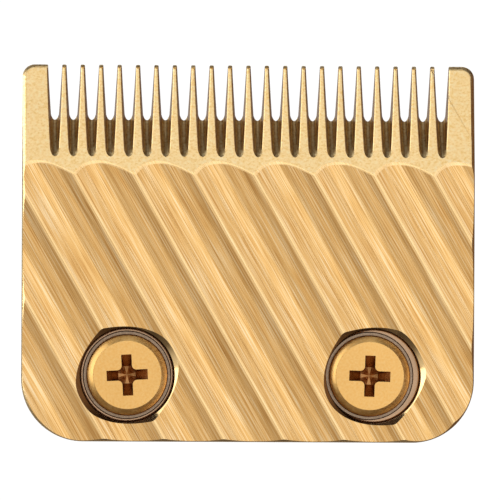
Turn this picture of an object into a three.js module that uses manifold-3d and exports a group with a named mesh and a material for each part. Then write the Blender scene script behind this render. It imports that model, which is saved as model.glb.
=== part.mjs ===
// Hair clipper blade head: a fluted comb blade on a sliding carriage, a reciprocating
// cutter behind it, and the frame that bolts to the clipper and carries both.
//
// Millimetres. +Z points to the tooth tips, +X to the right, -Y out of the fluted front.
// The origin is on the rear mounting face, level with the two blade screws.

import * as THREE from 'three';
import { mergeVertices } from 'three/addons/utils/BufferGeometryUtils.js';
import Module from 'manifold-3d';

const wasm = await Module();
wasm.setup();

// ---------------------------------------------------------------- driving dimensions

const CLEARANCE = 0.05; // left between faces that bear on each other
const OVERCUT = 1; // how far a cutting tool runs past the face it cuts
const SIDES = [['left', -1], ['right', 1]];
const ROUND = 40; // sides of a large circle
const SMALL_ROUND = 16; // sides of a small circle

// Comb blade, measured from its rear face (thickness) and its tooth tips (depth).
const COMB = {
  width: 46, top: 31.55, bottom: -6.75, rear: -11, topRadius: 1.25, bottomRadius: 6.3,
  ridgeThickness: 3.4, tipThickness: 0.35, bevelAngle: THREE.MathUtils.degToRad(15),
  hollowTop: 18.5, hollowBottom: 11.5, hollowDepth: 0.3,
};

// Parallel flutes ground across the front, with a narrow flat left on each ridge.
const FLUTE = {
  angle: THREE.MathUtils.degToRad(60.2), pitch: 5.29, depth: 0.335, ridgeFlat: 0.15,
  firstIndex: -5, lastIndex: 5, sides: 100, length: 64, centreAlong: -10.8,
};

// Tooth gaps, cut by a grinding wheel with a pointed rim.
const GAP = {
  count: 22, pitch: 1.8755, wheelRadius: 31, rimHeight: 0.33, rimHalfWidth: 0.345,
  flankSlope: 0.155, wheelReach: 4, breakOut: 5.63, end: 9.4, sides: 120,
};

// Blade screws. The comb's holes are oversize and a little further apart than the threads,
// which is what lets the comb be set square to the cutter.
const HOLE_X = { left: -12.24, right: 12.77 };
const SCREW_X = { left: -12.24, right: 12.42 };
const SCREW_TURN = { left: THREE.MathUtils.degToRad(2.9), right: THREE.MathUtils.degToRad(-1.5) };
const SCREW = {
  counterboreRadius: 4.95, webThickness: 0.9, holeRadius: 2.5, washerRadius: 4.5,
  washerBore: 2.15, washerThickness: 0.4, headRadius: 4.15, headFlatRadius: 3.55,
  headHeight: 1.35, headEdge: 0.4, shankRadius: 1.95, threadRadius: 2,
  recessSpan: 4.13, recessArm: 0.93, recessDepth: 0.95, recessFillet: 0.35, tipChamfer: 0.4,
};

// Sliding bracket behind the comb, with an L-shaped rail down each side.
const BRACKET = {
  halfWidth: 21.4, top: 8.2, bottom: -5.9, thickness: 3, bottomRadius: 5.2, topRadius: 1,
};
BRACKET.front = COMB.rear + CLEARANCE;
BRACKET.rear = BRACKET.front + BRACKET.thickness;
const RAIL = {
  inner: 18.8, outer: 21.2, footInner: 16.6, rear: -3.4, footThickness: 1.8,
  top: 7.5, bottom: -3.3, screwX: 20, screwZ: { upper: 5.3, lower: -1 },
};

// Mounting frame: back plate, two guide lands and the lug that holds the spring pin.
const FRAME = {
  halfWidth: 21.4, top: 11, bottom: -5.9, thickness: 3, bottomRadius: 5.2, topRadius: 2,
  landInner: 12, landOuter: 16.3, landFront: -5.4, landTop: 10, landBottom: -4.5,
  boltX: 8.6, boltZ: 8.1, boltRadius: 1.6, boltHeadRadius: 3, boltHeadDepth: 1.6,
  lugHalfWidth: 1.5, lugFront: -7.5, lugBottom: 1.6,
};
const GIB = {
  inner: 12.2, outer: 18.4, thickness: 1.5, cornerRadius: 0.6,
  screwX: 14.2, screwZ: { upper: 8, lower: -2.4 },
};
const TAPER_PIN = { x: -9.8, z: 4, radius: 1.5, travel: 5.1, slotMargin: 0.6, rear: -0.6, embed: 2.5 };

// Small countersunk screws of the gibs and the rails.
const SMALL_SCREW = { shankRadius: 1, headRadius: 1.9, headDepth: 0.9, threadDepth: 2 };

// Double torsion spring on a cross pin; its two arms press the drive guide forwards.
const SPRING = {
  wireRadius: 0.4, coilRadius: 1.8, turns: 3, pitch: 1.05, innerX: 2.2, y: -5.35, z: 4,
  bridgeDrop: 3.2, bridgeCorner: 1, armTop: 11.6, footY: -5.2, footZ: 15.4, footTipZ: 17.2,
  footInset: 0.6, pointsPerTurn: 12, steps: 180, arcSegments: 4,
};
const SPRING_PIN = { radius: 1.1, halfLength: 7.2, clipRadius: 1.9, clipThickness: 0.6, clipX: 6.25 };

// Cutter, its drive guide and the two pegs that join them.
const CUTTER = {
  halfWidth: 15.5, top: 25.7, bottom: 11, thickness: 1.8, cornerRadius: 1.2,
  tipRadius: 0.3, teeth: 15, pitch: 2.06, gapDepth: 5, gapTip: 0.68, gapRoot: 0.34, tipThickness: 0.45,
  bevelLength: 6.2, hollowTop: 19, hollowBottom: 13, hollowDepth: 0.3,
};
CUTTER.front = COMB.rear + CLEARANCE;
CUTTER.rear = CUTTER.front + CUTTER.thickness;
const GUIDE = {
  halfWidth: 8, top: 18.4, bottom: 12.6, depth: 3.4, cornerRadius: 1.2,
  slotWidth: 3.2, slotTop: 16.6, slotDepth: 2.8, slotFoot: 0.4,
};
const PEG = { x: 5.6, z: 15.5, radius: 1, embed: 2.2 };

// ---------------------------------------------------------------- solids and placement

/** Turns a closed three.js geometry into a solid that can be joined and cut. */
function solidOf(geometry) {
  const bare = geometry.clone();
  bare.deleteAttribute('normal');
  bare.deleteAttribute('uv');
  const merged = mergeVertices(bare, 1e-4);
  const corners = merged.index.array;
  const kept = [];
  for (let i = 0; i < corners.length; i += 3) {
    const [a, b, c] = [corners[i], corners[i + 1], corners[i + 2]];
    if (a !== b && b !== c && c !== a) kept.push(a, b, c);
  }
  const vertProperties = new Float32Array(merged.attributes.position.array);
  return new wasm.Manifold(new wasm.Mesh({ numProp: 3, vertProperties, triVerts: new Uint32Array(kept) }));
}

/** Turns a solid back into a three.js geometry. */
function geometryOf(body) {
  const { vertProperties, triVerts } = body.getMesh();
  const geometry = new THREE.BufferGeometry();
  geometry.setAttribute('position', new THREE.BufferAttribute(vertProperties, 3));
  geometry.setIndex(new THREE.BufferAttribute(triVerts, 1));
  geometry.computeVertexNormals();
  return geometry;
}

/** A named mesh made from a solid. */
function piece(name, body, material) {
  const mesh = new THREE.Mesh(geometryOf(body), material);
  mesh.name = name;
  return mesh;
}

/** A plate with its outline in X and Z, between a front and a rear Y. */
function plate(outline, front, rear, curveSegments = 10) {
  const geometry = new THREE.ExtrudeGeometry(outline, {
    depth: rear - front, bevelEnabled: false, curveSegments,
  });
  geometry.rotateX(Math.PI / 2);
  geometry.translate(0, rear, 0);
  return solidOf(geometry);
}

/** A bar along X with its section in Y and Z, between two X values. */
function bar(section, fromX, toX) {
  const geometry = new THREE.ExtrudeGeometry(new THREE.Shape(section), {
    depth: toX - fromX, bevelEnabled: false,
  });
  const axes = new THREE.Matrix4().makeBasis(
    new THREE.Vector3(0, 1, 0), new THREE.Vector3(0, 0, 1), new THREE.Vector3(1, 0, 0),
  );
  geometry.applyMatrix4(axes);
  geometry.translate(fromX, 0, 0);
  return solidOf(geometry);
}

/** A rectangular block between two corners. */
function block(low, high) {
  const size = new THREE.Vector3().subVectors(high, low);
  const geometry = new THREE.BoxGeometry(size.x, size.y, size.z);
  geometry.translate(low.x + size.x / 2, low.y + size.y / 2, low.z + size.z / 2);
  return solidOf(geometry);
}

/** A round rod along Y. */
function rod(radius, front, rear, x, z, sides = SMALL_ROUND) {
  const geometry = new THREE.CylinderGeometry(radius, radius, rear - front, sides);
  geometry.translate(x, (front + rear) / 2, z);
  return solidOf(geometry);
}

/** A turned solid about an axis along Y, from [radius, y] pairs. */
function turned(profile, x, z, sides = ROUND) {
  const points = profile.map(([radius, y]) => new THREE.Vector2(radius, y));
  const geometry = new THREE.LatheGeometry(points, sides);
  geometry.translate(x, 0, z);
  return solidOf(geometry);
}

/** An upright outline in X and Z with its own radius on the lower and the upper corners. */
function roundedOutline(left, right, bottom, top, lowerRadius, upperRadius) {
  const shape = new THREE.Shape();
  const quarter = Math.PI / 2;
  shape.absarc(right - lowerRadius, bottom + lowerRadius, lowerRadius, -quarter, 0, false);
  shape.absarc(right - upperRadius, top - upperRadius, upperRadius, 0, quarter, false);
  shape.absarc(left + upperRadius, top - upperRadius, upperRadius, quarter, 2 * quarter, false);
  shape.absarc(left + lowerRadius, bottom + lowerRadius, lowerRadius, 2 * quarter, 3 * quarter, false);
  return shape;
}

/** A plain outline through [x, z] corners. */
function outlineOf(corners) {
  return new THREE.Shape(corners.map(([x, z]) => new THREE.Vector2(x, z)));
}

/** Cuts every tool in turn from a body. */
function cutAll(body, tools) {
  return tools.reduce((rest, tool) => rest.subtract(tool), body);
}

/** Height of the comb's front bevel above its rear face, at a depth below the tips. */
function bevelHeight(depth) {
  return COMB.tipThickness + depth * Math.tan(COMB.bevelAngle);
}

// ---------------------------------------------------------------- comb blade

/** The wedge in front of the sloping tooth face. */
function bevelTool() {
  const fullDepth = (COMB.ridgeThickness - COMB.tipThickness) / Math.tan(COMB.bevelAngle);
  const lowDepth = fullDepth + OVERCUT;
  const farFront = COMB.rear - COMB.ridgeThickness - 3 * OVERCUT;
  const section = [
    new THREE.Vector2(COMB.rear - bevelHeight(-OVERCUT), COMB.top + OVERCUT),
    new THREE.Vector2(farFront, COMB.top + OVERCUT),
    new THREE.Vector2(farFront, COMB.top - lowDepth),
    new THREE.Vector2(COMB.rear - bevelHeight(lowDepth), COMB.top - lowDepth),
  ];
  return bar(section, -COMB.width / 2 - OVERCUT, COMB.width / 2 + OVERCUT);
}

/** One long round tool for each flute, side by side across the front. */
function fluteTools() {
  const halfChord = (FLUTE.pitch - FLUTE.ridgeFlat) / 2;
  const radius = (halfChord ** 2 + FLUTE.depth ** 2) / (2 * FLUTE.depth);
  const along = new THREE.Vector3(Math.cos(FLUTE.angle), 0, -Math.sin(FLUTE.angle));
  const across = new THREE.Vector3(Math.sin(FLUTE.angle), 0, Math.cos(FLUTE.angle));
  const turn = new THREE.Quaternion().setFromUnitVectors(new THREE.Vector3(0, 1, 0), along);
  const tools = [];
  for (let index = FLUTE.firstIndex; index <= FLUTE.lastIndex; index += 1) {
    const geometry = new THREE.CylinderGeometry(radius, radius, FLUTE.length, FLUTE.sides);
    const centre = across.clone().multiplyScalar((index + 0.5) * FLUTE.pitch);
    centre.addScaledVector(along, FLUTE.centreAlong);
    centre.y = COMB.rear - COMB.ridgeThickness + FLUTE.depth - radius;
    geometry.applyQuaternion(turn);
    geometry.translate(centre.x, centre.y, centre.z);
    tools.push(solidOf(geometry));
  }
  return tools;
}

/** The rim of the grinding wheel, as a ring about the X axis through the origin. */
function wheelGeometry() {
  const { wheelRadius, rimHeight, rimHalfWidth, flankSlope, wheelReach } = GAP;
  const wideHalf = rimHalfWidth + flankSlope * (wheelReach - rimHeight);
  const profile = [
    [wheelRadius, 0], [wheelRadius - rimHeight, rimHalfWidth], [wheelRadius - wheelReach, wideHalf],
    [wheelRadius - wheelReach, -wideHalf], [wheelRadius - rimHeight, -rimHalfWidth], [wheelRadius, 0],
  ].map(([radius, across]) => new THREE.Vector2(radius, across));
  const geometry = new THREE.LatheGeometry(profile, GAP.sides);
  geometry.rotateZ(Math.PI / 2);
  return geometry;
}

/** The wheel at every tooth gap. Its rim leaves the rear face at breakOut and the front at end. */
function gapTools() {
  const run = GAP.end - GAP.breakOut;
  const rise = bevelHeight(GAP.end);
  const halfSweep = Math.asin(Math.hypot(run, rise) / 2 / GAP.wheelRadius);
  const rearAngle = Math.atan2(rise, run) - halfSweep;
  const centreY = COMB.rear - GAP.wheelRadius * Math.cos(rearAngle);
  const centreZ = COMB.top - GAP.breakOut + GAP.wheelRadius * Math.sin(rearAngle);
  const tools = [];
  for (let index = 0; index < GAP.count; index += 1) {
    const geometry = wheelGeometry();
    geometry.translate((index - (GAP.count - 1) / 2) * GAP.pitch, centreY, centreZ);
    tools.push(solidOf(geometry));
  }
  return tools;
}

/** The stepped hole for each blade screw. */
function combHoleTools() {
  const front = COMB.rear - COMB.ridgeThickness - OVERCUT;
  return SIDES.flatMap(([side]) => [
    rod(SCREW.counterboreRadius, front, COMB.rear - SCREW.webThickness, HOLE_X[side], 0, ROUND),
    rod(SCREW.holeRadius, front, COMB.rear + OVERCUT, HOLE_X[side], 0, SMALL_ROUND),
  ]);
}

/** The shallow hollow across the rear, between the tooth land and the heel land. */
function hollowTool(halfWidth, bottom, top, face, depth) {
  const span = halfWidth + OVERCUT;
  const low = new THREE.Vector3(-span, Math.min(face, face + depth), bottom);
  const high = new THREE.Vector3(span, Math.max(face, face + depth), top);
  return block(low, high);
}

function combBlade() {
  const half = COMB.width / 2;
  const outline = roundedOutline(-half, half, COMB.bottom, COMB.top, COMB.bottomRadius, COMB.topRadius);
  const blank = plate(outline, COMB.rear - COMB.ridgeThickness, COMB.rear);
  const hollow = hollowTool(half, COMB.hollowBottom, COMB.hollowTop, COMB.rear, -COMB.hollowDepth);
  return cutAll(blank, [bevelTool(), ...fluteTools(), ...gapTools(), ...combHoleTools(), hollow]);
}

// ---------------------------------------------------------------- blade screws and washers

/** A cross-shaped prism with filleted inner corners, for the driver recess. */
function crossRecess(x, front, turn) {
  const arm = SCREW.recessArm / 2;
  const reach = SCREW.recessSpan / 2;
  const inner = arm + SCREW.recessFillet;
  const armCorners = [[reach, -arm], [reach, arm], [inner, arm], [arm, inner]];
  const corners = [0, 1, 2, 3].flatMap((quarter) => {
    const angle = quarter * (Math.PI / 2) + turn;
    return armCorners.map(([u, v]) => [
      x + u * Math.cos(angle) - v * Math.sin(angle),
      u * Math.sin(angle) + v * Math.cos(angle),
    ]);
  });
  return plate(outlineOf(corners), front - OVERCUT, front + SCREW.recessDepth);
}

const WASHER_REAR = COMB.rear - SCREW.webThickness - CLEARANCE;
const WASHER_FRONT = WASHER_REAR - SCREW.washerThickness;
const HEAD_REAR = WASHER_FRONT - CLEARANCE;
const HEAD_FRONT = HEAD_REAR - SCREW.headHeight;

function bladeScrew(side) {
  const tip = BRACKET.rear - 2 * CLEARANCE;
  const body = turned([
    [0, HEAD_FRONT], [SCREW.headFlatRadius, HEAD_FRONT],
    [SCREW.headRadius, HEAD_FRONT + SCREW.headEdge], [SCREW.headRadius, HEAD_REAR],
    [SCREW.shankRadius, HEAD_REAR], [SCREW.shankRadius, tip - SCREW.tipChamfer],
    [SCREW.shankRadius - SCREW.tipChamfer, tip], [0, tip],
  ], SCREW_X[side], 0);
  return body.subtract(crossRecess(SCREW_X[side], HEAD_FRONT, SCREW_TURN[side]));
}

function screwWasher(side) {
  return turned([
    [SCREW.washerBore, WASHER_FRONT], [SCREW.washerRadius, WASHER_FRONT],
    [SCREW.washerRadius, WASHER_REAR], [SCREW.washerBore, WASHER_REAR], [SCREW.washerBore, WASHER_FRONT],
  ], SCREW_X[side], 0);
}

// ---------------------------------------------------------------- carriage

/** A small countersunk screw whose head is flush with the face at front. */
function smallScrew(x, z, front, tip) {
  const { shankRadius, headRadius, headDepth } = SMALL_SCREW;
  return turned([
    [0, front], [headRadius, front], [shankRadius, front + headDepth], [shankRadius, tip], [0, tip],
  ], x, z, SMALL_ROUND);
}

/** The countersunk hole that a small screw sits in, a clearance larger all round. */
function smallScrewHole(x, z, front, tip) {
  const { shankRadius, headRadius, headDepth } = SMALL_SCREW;
  const head = headRadius + CLEARANCE;
  const shank = shankRadius + CLEARANCE;
  return turned([
    [0, front - OVERCUT], [head, front - OVERCUT], [head, front],
    [shank, front + headDepth], [shank, tip], [0, tip],
  ], x, z, SMALL_ROUND);
}

/** Calls make with x, z and a name ending for each place of a screw pattern alike on both sides. */
function screwPattern(pattern, make) {
  return SIDES.flatMap(([side, sign]) => Object.entries(pattern.screwZ).map(
    ([level, z]) => make(sign * pattern.screwX, z, `${side}_${level}`),
  ));
}

const RAIL_FRONT = BRACKET.rear + CLEARANCE;
const RAIL_SCREW_TIP = RAIL_FRONT + SMALL_SCREW.threadDepth;
const GIB_REAR = FRAME.landFront - CLEARANCE;
const GIB_FRONT = GIB_REAR - GIB.thickness;
const GIB_SCREW_TIP = FRAME.landFront + SMALL_SCREW.threadDepth;

function bladeBracket() {
  const { halfWidth, bottom, top, bottomRadius, topRadius, front, rear } = BRACKET;
  const outline = roundedOutline(-halfWidth, halfWidth, bottom, top, bottomRadius, topRadius);
  const body = plate(outline, front, rear);
  const threads = SIDES.map(([side]) => (
    rod(SCREW.threadRadius, front - OVERCUT, rear + OVERCUT, SCREW_X[side], 0, ROUND)
  ));
  const railHoles = screwPattern(RAIL, (x, z) => smallScrewHole(x, z, front, rear + OVERCUT));
  const pinHole = rod(
    TAPER_PIN.radius + CLEARANCE, rear - TAPER_PIN.embed, rear + OVERCUT, TAPER_PIN.x, TAPER_PIN.z,
  );
  return cutAll(body, [...threads, ...railHoles, pinHole]);
}

function slideRail(sign) {
  const footFront = RAIL.rear - RAIL.footThickness;
  const leg = block(
    new THREE.Vector3(RAIL.inner, RAIL_FRONT, RAIL.bottom),
    new THREE.Vector3(RAIL.outer, RAIL.rear, RAIL.top),
  );
  const foot = block(
    new THREE.Vector3(RAIL.footInner, footFront, RAIL.bottom),
    new THREE.Vector3(RAIL.outer, RAIL.rear, RAIL.top),
  );
  const threadRadius = SMALL_SCREW.shankRadius + CLEARANCE;
  const holes = Object.values(RAIL.screwZ).map((z) => (
    rod(threadRadius, RAIL_FRONT - OVERCUT, RAIL_SCREW_TIP + CLEARANCE, RAIL.screwX, z)
  ));
  const right = cutAll(leg.add(foot), holes);
  return sign > 0 ? right : right.mirror([1, 0, 0]);
}

function taperPin() {
  const front = BRACKET.rear - TAPER_PIN.embed + CLEARANCE;
  return rod(TAPER_PIN.radius, front, TAPER_PIN.rear, TAPER_PIN.x, TAPER_PIN.z);
}

// ---------------------------------------------------------------- frame

/** A round-ended slot for the taper pin, as long as the comb's travel. */
function taperSlotTool() {
  const radius = TAPER_PIN.radius + TAPER_PIN.slotMargin;
  const low = TAPER_PIN.z - TAPER_PIN.travel - radius;
  const outline = roundedOutline(
    TAPER_PIN.x - radius, TAPER_PIN.x + radius, low, TAPER_PIN.z + radius, radius, radius,
  );
  return plate(outline, -FRAME.thickness - OVERCUT, OVERCUT, 6);
}

/** The countersunk holes by which the frame is bolted to the clipper. */
function frameBoltTools() {
  const front = -FRAME.thickness;
  return SIDES.map(([, sign]) => turned([
    [0, front - OVERCUT], [FRAME.boltHeadRadius, front - OVERCUT], [FRAME.boltHeadRadius, front],
    [FRAME.boltRadius, front + FRAME.boltHeadDepth], [FRAME.boltRadius, OVERCUT], [0, OVERCUT],
  ], sign * FRAME.boltX, FRAME.boltZ, SMALL_ROUND));
}

function mountingFrame() {
  const { halfWidth, bottom, top, bottomRadius, topRadius, thickness } = FRAME;
  let body = plate(
    roundedOutline(-halfWidth, halfWidth, bottom, top, bottomRadius, topRadius), -thickness, 0,
  );
  for (const [, sign] of SIDES) {
    const edges = [sign * FRAME.landInner, sign * FRAME.landOuter].sort((a, b) => a - b);
    body = body.add(block(
      new THREE.Vector3(edges[0], FRAME.landFront, FRAME.landBottom),
      new THREE.Vector3(edges[1], -thickness / 2, FRAME.landTop),
    ));
  }
  const lugTop = 2 * SPRING.z - FRAME.lugBottom;
  body = body.add(block(
    new THREE.Vector3(-FRAME.lugHalfWidth, FRAME.lugFront, FRAME.lugBottom),
    new THREE.Vector3(FRAME.lugHalfWidth, -thickness / 2, lugTop),
  ));
  const gibHoles = screwPattern(GIB, (x, z) => (
    rod(SMALL_SCREW.shankRadius + CLEARANCE, FRAME.landFront - OVERCUT, GIB_SCREW_TIP + CLEARANCE, x, z)
  ));
  return cutAll(body, [taperSlotTool(), ...frameBoltTools(), ...gibHoles, crossPinBore()]);
}

/** A round bar along X at the spring's axis. */
function crossBar(radius, fromX, toX) {
  const geometry = new THREE.CylinderGeometry(radius, radius, toX - fromX, SMALL_ROUND);
  geometry.rotateZ(Math.PI / 2);
  geometry.translate((fromX + toX) / 2, SPRING.y, SPRING.z);
  return solidOf(geometry);
}

function crossPinBore() {
  const reach = FRAME.lugHalfWidth + OVERCUT;
  return crossBar(SPRING_PIN.radius + CLEARANCE, -reach, reach);
}

function gibStrip(sign) {
  const edges = [sign * GIB.inner, sign * GIB.outer].sort((a, b) => a - b);
  const corner = GIB.cornerRadius;
  const outline = roundedOutline(edges[0], edges[1], FRAME.landBottom, FRAME.landTop, corner, corner);
  const holes = Object.values(GIB.screwZ).map((z) => (
    smallScrewHole(sign * GIB.screwX, z, GIB_FRONT, GIB_REAR + OVERCUT)
  ));
  return cutAll(plate(outline, GIB_FRONT, GIB_REAR, 4), holes);
}

// ---------------------------------------------------------------- spring

/** Centre line of the right half of the wire, from the middle of the bridge to the foot. */
function springHalf() {
  const { coilRadius, turns, pitch, innerX, y, z, pointsPerTurn } = SPRING;
  const bridgeZ = z - SPRING.bridgeDrop;
  const points = [
    new THREE.Vector3(0, y + coilRadius, bridgeZ),
    new THREE.Vector3(innerX - SPRING.bridgeCorner / 2, y + coilRadius, bridgeZ),
    new THREE.Vector3(innerX, y + coilRadius, bridgeZ + SPRING.bridgeCorner),
  ];
  for (let step = 0; step <= turns * pointsPerTurn; step += 1) {
    const angle = (step / pointsPerTurn) * 2 * Math.PI;
    points.push(new THREE.Vector3(
      innerX + (step / pointsPerTurn) * pitch,
      y + coilRadius * Math.cos(angle),
      z + coilRadius * Math.sin(angle),
    ));
  }
  const outerX = innerX + turns * pitch;
  points.push(
    new THREE.Vector3(outerX, y + coilRadius, (z + SPRING.armTop) / 2),
    new THREE.Vector3(outerX, y + coilRadius, SPRING.armTop),
    new THREE.Vector3(outerX - SPRING.footInset / 2, SPRING.footY, SPRING.footZ),
    new THREE.Vector3(outerX - SPRING.footInset, SPRING.footY, SPRING.footTipZ),
  );
  return points;
}

function tensionSpring() {
  const right = springHalf();
  const left = right.slice(1).reverse().map((point) => new THREE.Vector3(-point.x, point.y, point.z));
  const wire = new THREE.Shape();
  wire.absarc(0, 0, SPRING.wireRadius, 0, 2 * Math.PI, false);
  const geometry = new THREE.ExtrudeGeometry(wire, {
    steps: SPRING.steps,
    curveSegments: SPRING.arcSegments,
    extrudePath: new THREE.CatmullRomCurve3([...left, ...right], false, 'centripetal'),
  });
  return solidOf(geometry);
}

function pinClip(sign) {
  const edges = [sign * SPRING_PIN.clipX, sign * (SPRING_PIN.clipX + SPRING_PIN.clipThickness)];
  const [fromX, toX] = edges.sort((a, b) => a - b);
  const bore = crossBar(SPRING_PIN.radius + CLEARANCE, fromX - OVERCUT, toX + OVERCUT);
  return crossBar(SPRING_PIN.clipRadius, fromX, toX).subtract(bore);
}

// ---------------------------------------------------------------- cutter

/** The gap between two cutter teeth: wide at the tips and narrow at the root. */
function cutterGapTool(x) {
  const rootZ = CUTTER.top - CUTTER.gapDepth;
  const outline = outlineOf([
    [x - CUTTER.gapTip, CUTTER.top + OVERCUT], [x - CUTTER.gapTip, CUTTER.top],
    [x - CUTTER.gapRoot, rootZ], [x, rootZ - CUTTER.gapRoot], [x + CUTTER.gapRoot, rootZ],
    [x + CUTTER.gapTip, CUTTER.top], [x + CUTTER.gapTip, CUTTER.top + OVERCUT],
  ]);
  return plate(outline, CUTTER.front - OVERCUT, CUTTER.rear + OVERCUT);
}

/** The wedge behind the cutter's teeth that thins them to their tips. */
function cutterBevelTool() {
  const tipRear = CUTTER.front + CUTTER.tipThickness;
  const slope = (CUTTER.rear - tipRear) / CUTTER.bevelLength;
  const section = [
    new THREE.Vector2(tipRear - slope * OVERCUT, CUTTER.top + OVERCUT),
    new THREE.Vector2(CUTTER.rear + slope * OVERCUT, CUTTER.top - CUTTER.bevelLength - OVERCUT),
    new THREE.Vector2(CUTTER.rear + 2 * OVERCUT, CUTTER.top + OVERCUT),
  ];
  return bar(section, -CUTTER.halfWidth - OVERCUT, CUTTER.halfWidth + OVERCUT);
}

function pegTools(front, rear) {
  return SIDES.map(([, sign]) => rod(PEG.radius + CLEARANCE, front, rear, sign * PEG.x, PEG.z));
}

function cutterBlade() {
  const { halfWidth, bottom, top, cornerRadius, tipRadius, front, rear } = CUTTER;
  const outline = roundedOutline(-halfWidth, halfWidth, bottom, top, cornerRadius, tipRadius);
  const blank = plate(outline, front, rear, 6);
  const gaps = [];
  for (let index = 0; index < CUTTER.teeth - 1; index += 1) {
    gaps.push(cutterGapTool((index - (CUTTER.teeth - 2) / 2) * CUTTER.pitch));
  }
  const hollow = hollowTool(halfWidth, CUTTER.hollowBottom, CUTTER.hollowTop, front, CUTTER.hollowDepth);
  return cutAll(blank, [cutterBevelTool(), ...gaps, hollow, ...pegTools(front - OVERCUT, rear + OVERCUT)]);
}

const GUIDE_FRONT = CUTTER.rear + CLEARANCE;
const GUIDE_REAR = GUIDE_FRONT + GUIDE.depth;

function driveGuide() {
  const { halfWidth, bottom, top, cornerRadius, slotWidth, slotTop, slotDepth, slotFoot } = GUIDE;
  const outline = roundedOutline(-halfWidth, halfWidth, bottom, top, cornerRadius, cornerRadius);
  const body = plate(outline, GUIDE_FRONT, GUIDE_REAR, 6);
  const slot = plate(
    roundedOutline(-slotWidth / 2, slotWidth / 2, bottom - 2 * OVERCUT, slotTop, slotFoot, slotWidth / 2),
    GUIDE_REAR - slotDepth, GUIDE_REAR + OVERCUT, 6,
  );
  return cutAll(body, [slot, ...pegTools(GUIDE_FRONT - OVERCUT, GUIDE_FRONT + PEG.embed + CLEARANCE)]);
}

function guidePeg(sign) {
  const front = CUTTER.front + CUTTER.hollowDepth + CLEARANCE;
  return rod(PEG.radius, front, GUIDE_FRONT + PEG.embed, sign * PEG.x, PEG.z);
}

// ---------------------------------------------------------------- materials

const FINISHES = {
  coatedBlade: { color: 0xe0b268, roughness: 0.35, metalness: 1 },
  coatedScrew: { color: 0xe6b56c, roughness: 0.4, metalness: 1 },
  plainSteel: { color: 0xb4b2ae, roughness: 0.35, metalness: 1 },
  zincPlate: { color: 0xc2bfb8, roughness: 0.45, metalness: 1 },
  springSteel: { color: 0x8d8b88, roughness: 0.3, metalness: 1 },
  castAlloy: { color: 0x8e9196, roughness: 0.6, metalness: 1 },
  nylon: { color: 0x23262a, roughness: 0.55, metalness: 0 },
};

function finish(name) {
  return new THREE.MeshStandardMaterial(FINISHES[name]);
}

// ---------------------------------------------------------------- assembly

/** The comb and everything that slides with it when the cutting length is set. */
function combCarriage() {
  const group = new THREE.Group();
  group.add(piece('comb_blade', combBlade(), finish('coatedBlade')));
  group.add(piece('blade_bracket', bladeBracket(), finish('zincPlate')));
  group.add(piece('taper_pin', taperPin(), finish('plainSteel')));
  for (const [side, sign] of SIDES) {
    group.add(piece(`blade_screw_${side}`, bladeScrew(side), finish('coatedScrew')));
    group.add(piece(`screw_washer_${side}`, screwWasher(side), finish('zincPlate')));
    group.add(piece(`slide_rail_${side}`, slideRail(sign), finish('plainSteel')));
  }
  group.add(...screwPattern(RAIL, (x, z, place) => (
    piece(`rail_screw_${place}`, smallScrew(x, z, BRACKET.front, RAIL_SCREW_TIP), finish('zincPlate'))
  )));
  return group;
}

/** The cutter and what drives it from side to side. */
function cutterSet() {
  const group = new THREE.Group();
  group.add(piece('cutter_blade', cutterBlade(), finish('plainSteel')));
  group.add(piece('drive_guide', driveGuide(), finish('nylon')));
  for (const [side, sign] of SIDES) {
    group.add(piece(`guide_peg_${side}`, guidePeg(sign), finish('plainSteel')));
  }
  return group;
}

/** The frame that bolts to the clipper, its gibs and the spring that presses the cutter. */
function frameSet() {
  const group = new THREE.Group();
  group.add(piece('mounting_frame', mountingFrame(), finish('castAlloy')));
  group.add(piece('tension_spring', tensionSpring(), finish('springSteel')));
  const { radius, halfLength } = SPRING_PIN;
  group.add(piece('spring_pin', crossBar(radius, -halfLength, halfLength), finish('plainSteel')));
  for (const [side, sign] of SIDES) {
    group.add(piece(`pin_clip_${side}`, pinClip(sign), finish('springSteel')));
    group.add(piece(`gib_strip_${side}`, gibStrip(sign), finish('plainSteel')));
  }
  group.add(...screwPattern(GIB, (x, z, place) => (
    piece(`gib_screw_${place}`, smallScrew(x, z, GIB_FRONT, GIB_SCREW_TIP), finish('zincPlate'))
  )));
  return group;
}

const bladeHead = new THREE.Group();
bladeHead.add(combCarriage(), cutterSet(), frameSet());

export default bladeHead;
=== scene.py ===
"""Looks of a hair clipper blade head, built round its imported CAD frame.

Pieces are modelled in millimetres, where the modelling operators work best, and each one is
brought to metres as it is finished. Places and outer sizes come from the frame's nodes.
"""

import logging
import math
from contextlib import contextmanager
from dataclasses import dataclass, field
from enum import Enum, IntEnum
from typing import Callable, Iterator, Sequence

import bmesh
import bpy
from mathutils import Matrix, Vector


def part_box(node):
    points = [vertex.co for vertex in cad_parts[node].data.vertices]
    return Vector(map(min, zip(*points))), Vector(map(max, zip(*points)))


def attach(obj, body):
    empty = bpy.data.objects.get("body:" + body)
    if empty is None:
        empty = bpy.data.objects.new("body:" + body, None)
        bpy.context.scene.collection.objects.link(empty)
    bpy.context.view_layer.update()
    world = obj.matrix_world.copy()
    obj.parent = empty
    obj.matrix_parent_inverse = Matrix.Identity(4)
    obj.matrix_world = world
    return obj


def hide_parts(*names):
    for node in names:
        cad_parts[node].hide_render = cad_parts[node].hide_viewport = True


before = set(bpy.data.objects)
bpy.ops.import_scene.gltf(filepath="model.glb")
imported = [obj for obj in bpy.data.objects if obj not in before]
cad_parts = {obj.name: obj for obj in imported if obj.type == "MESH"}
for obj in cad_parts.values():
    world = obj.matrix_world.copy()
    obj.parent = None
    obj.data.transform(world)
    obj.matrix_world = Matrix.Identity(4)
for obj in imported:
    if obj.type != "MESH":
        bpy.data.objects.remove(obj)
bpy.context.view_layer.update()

LOG = logging.getLogger("blade_head")
MM = 0.001

# Millimetres that a cutting tool runs past what it cuts.
OVERCUT = 1.0
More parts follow.
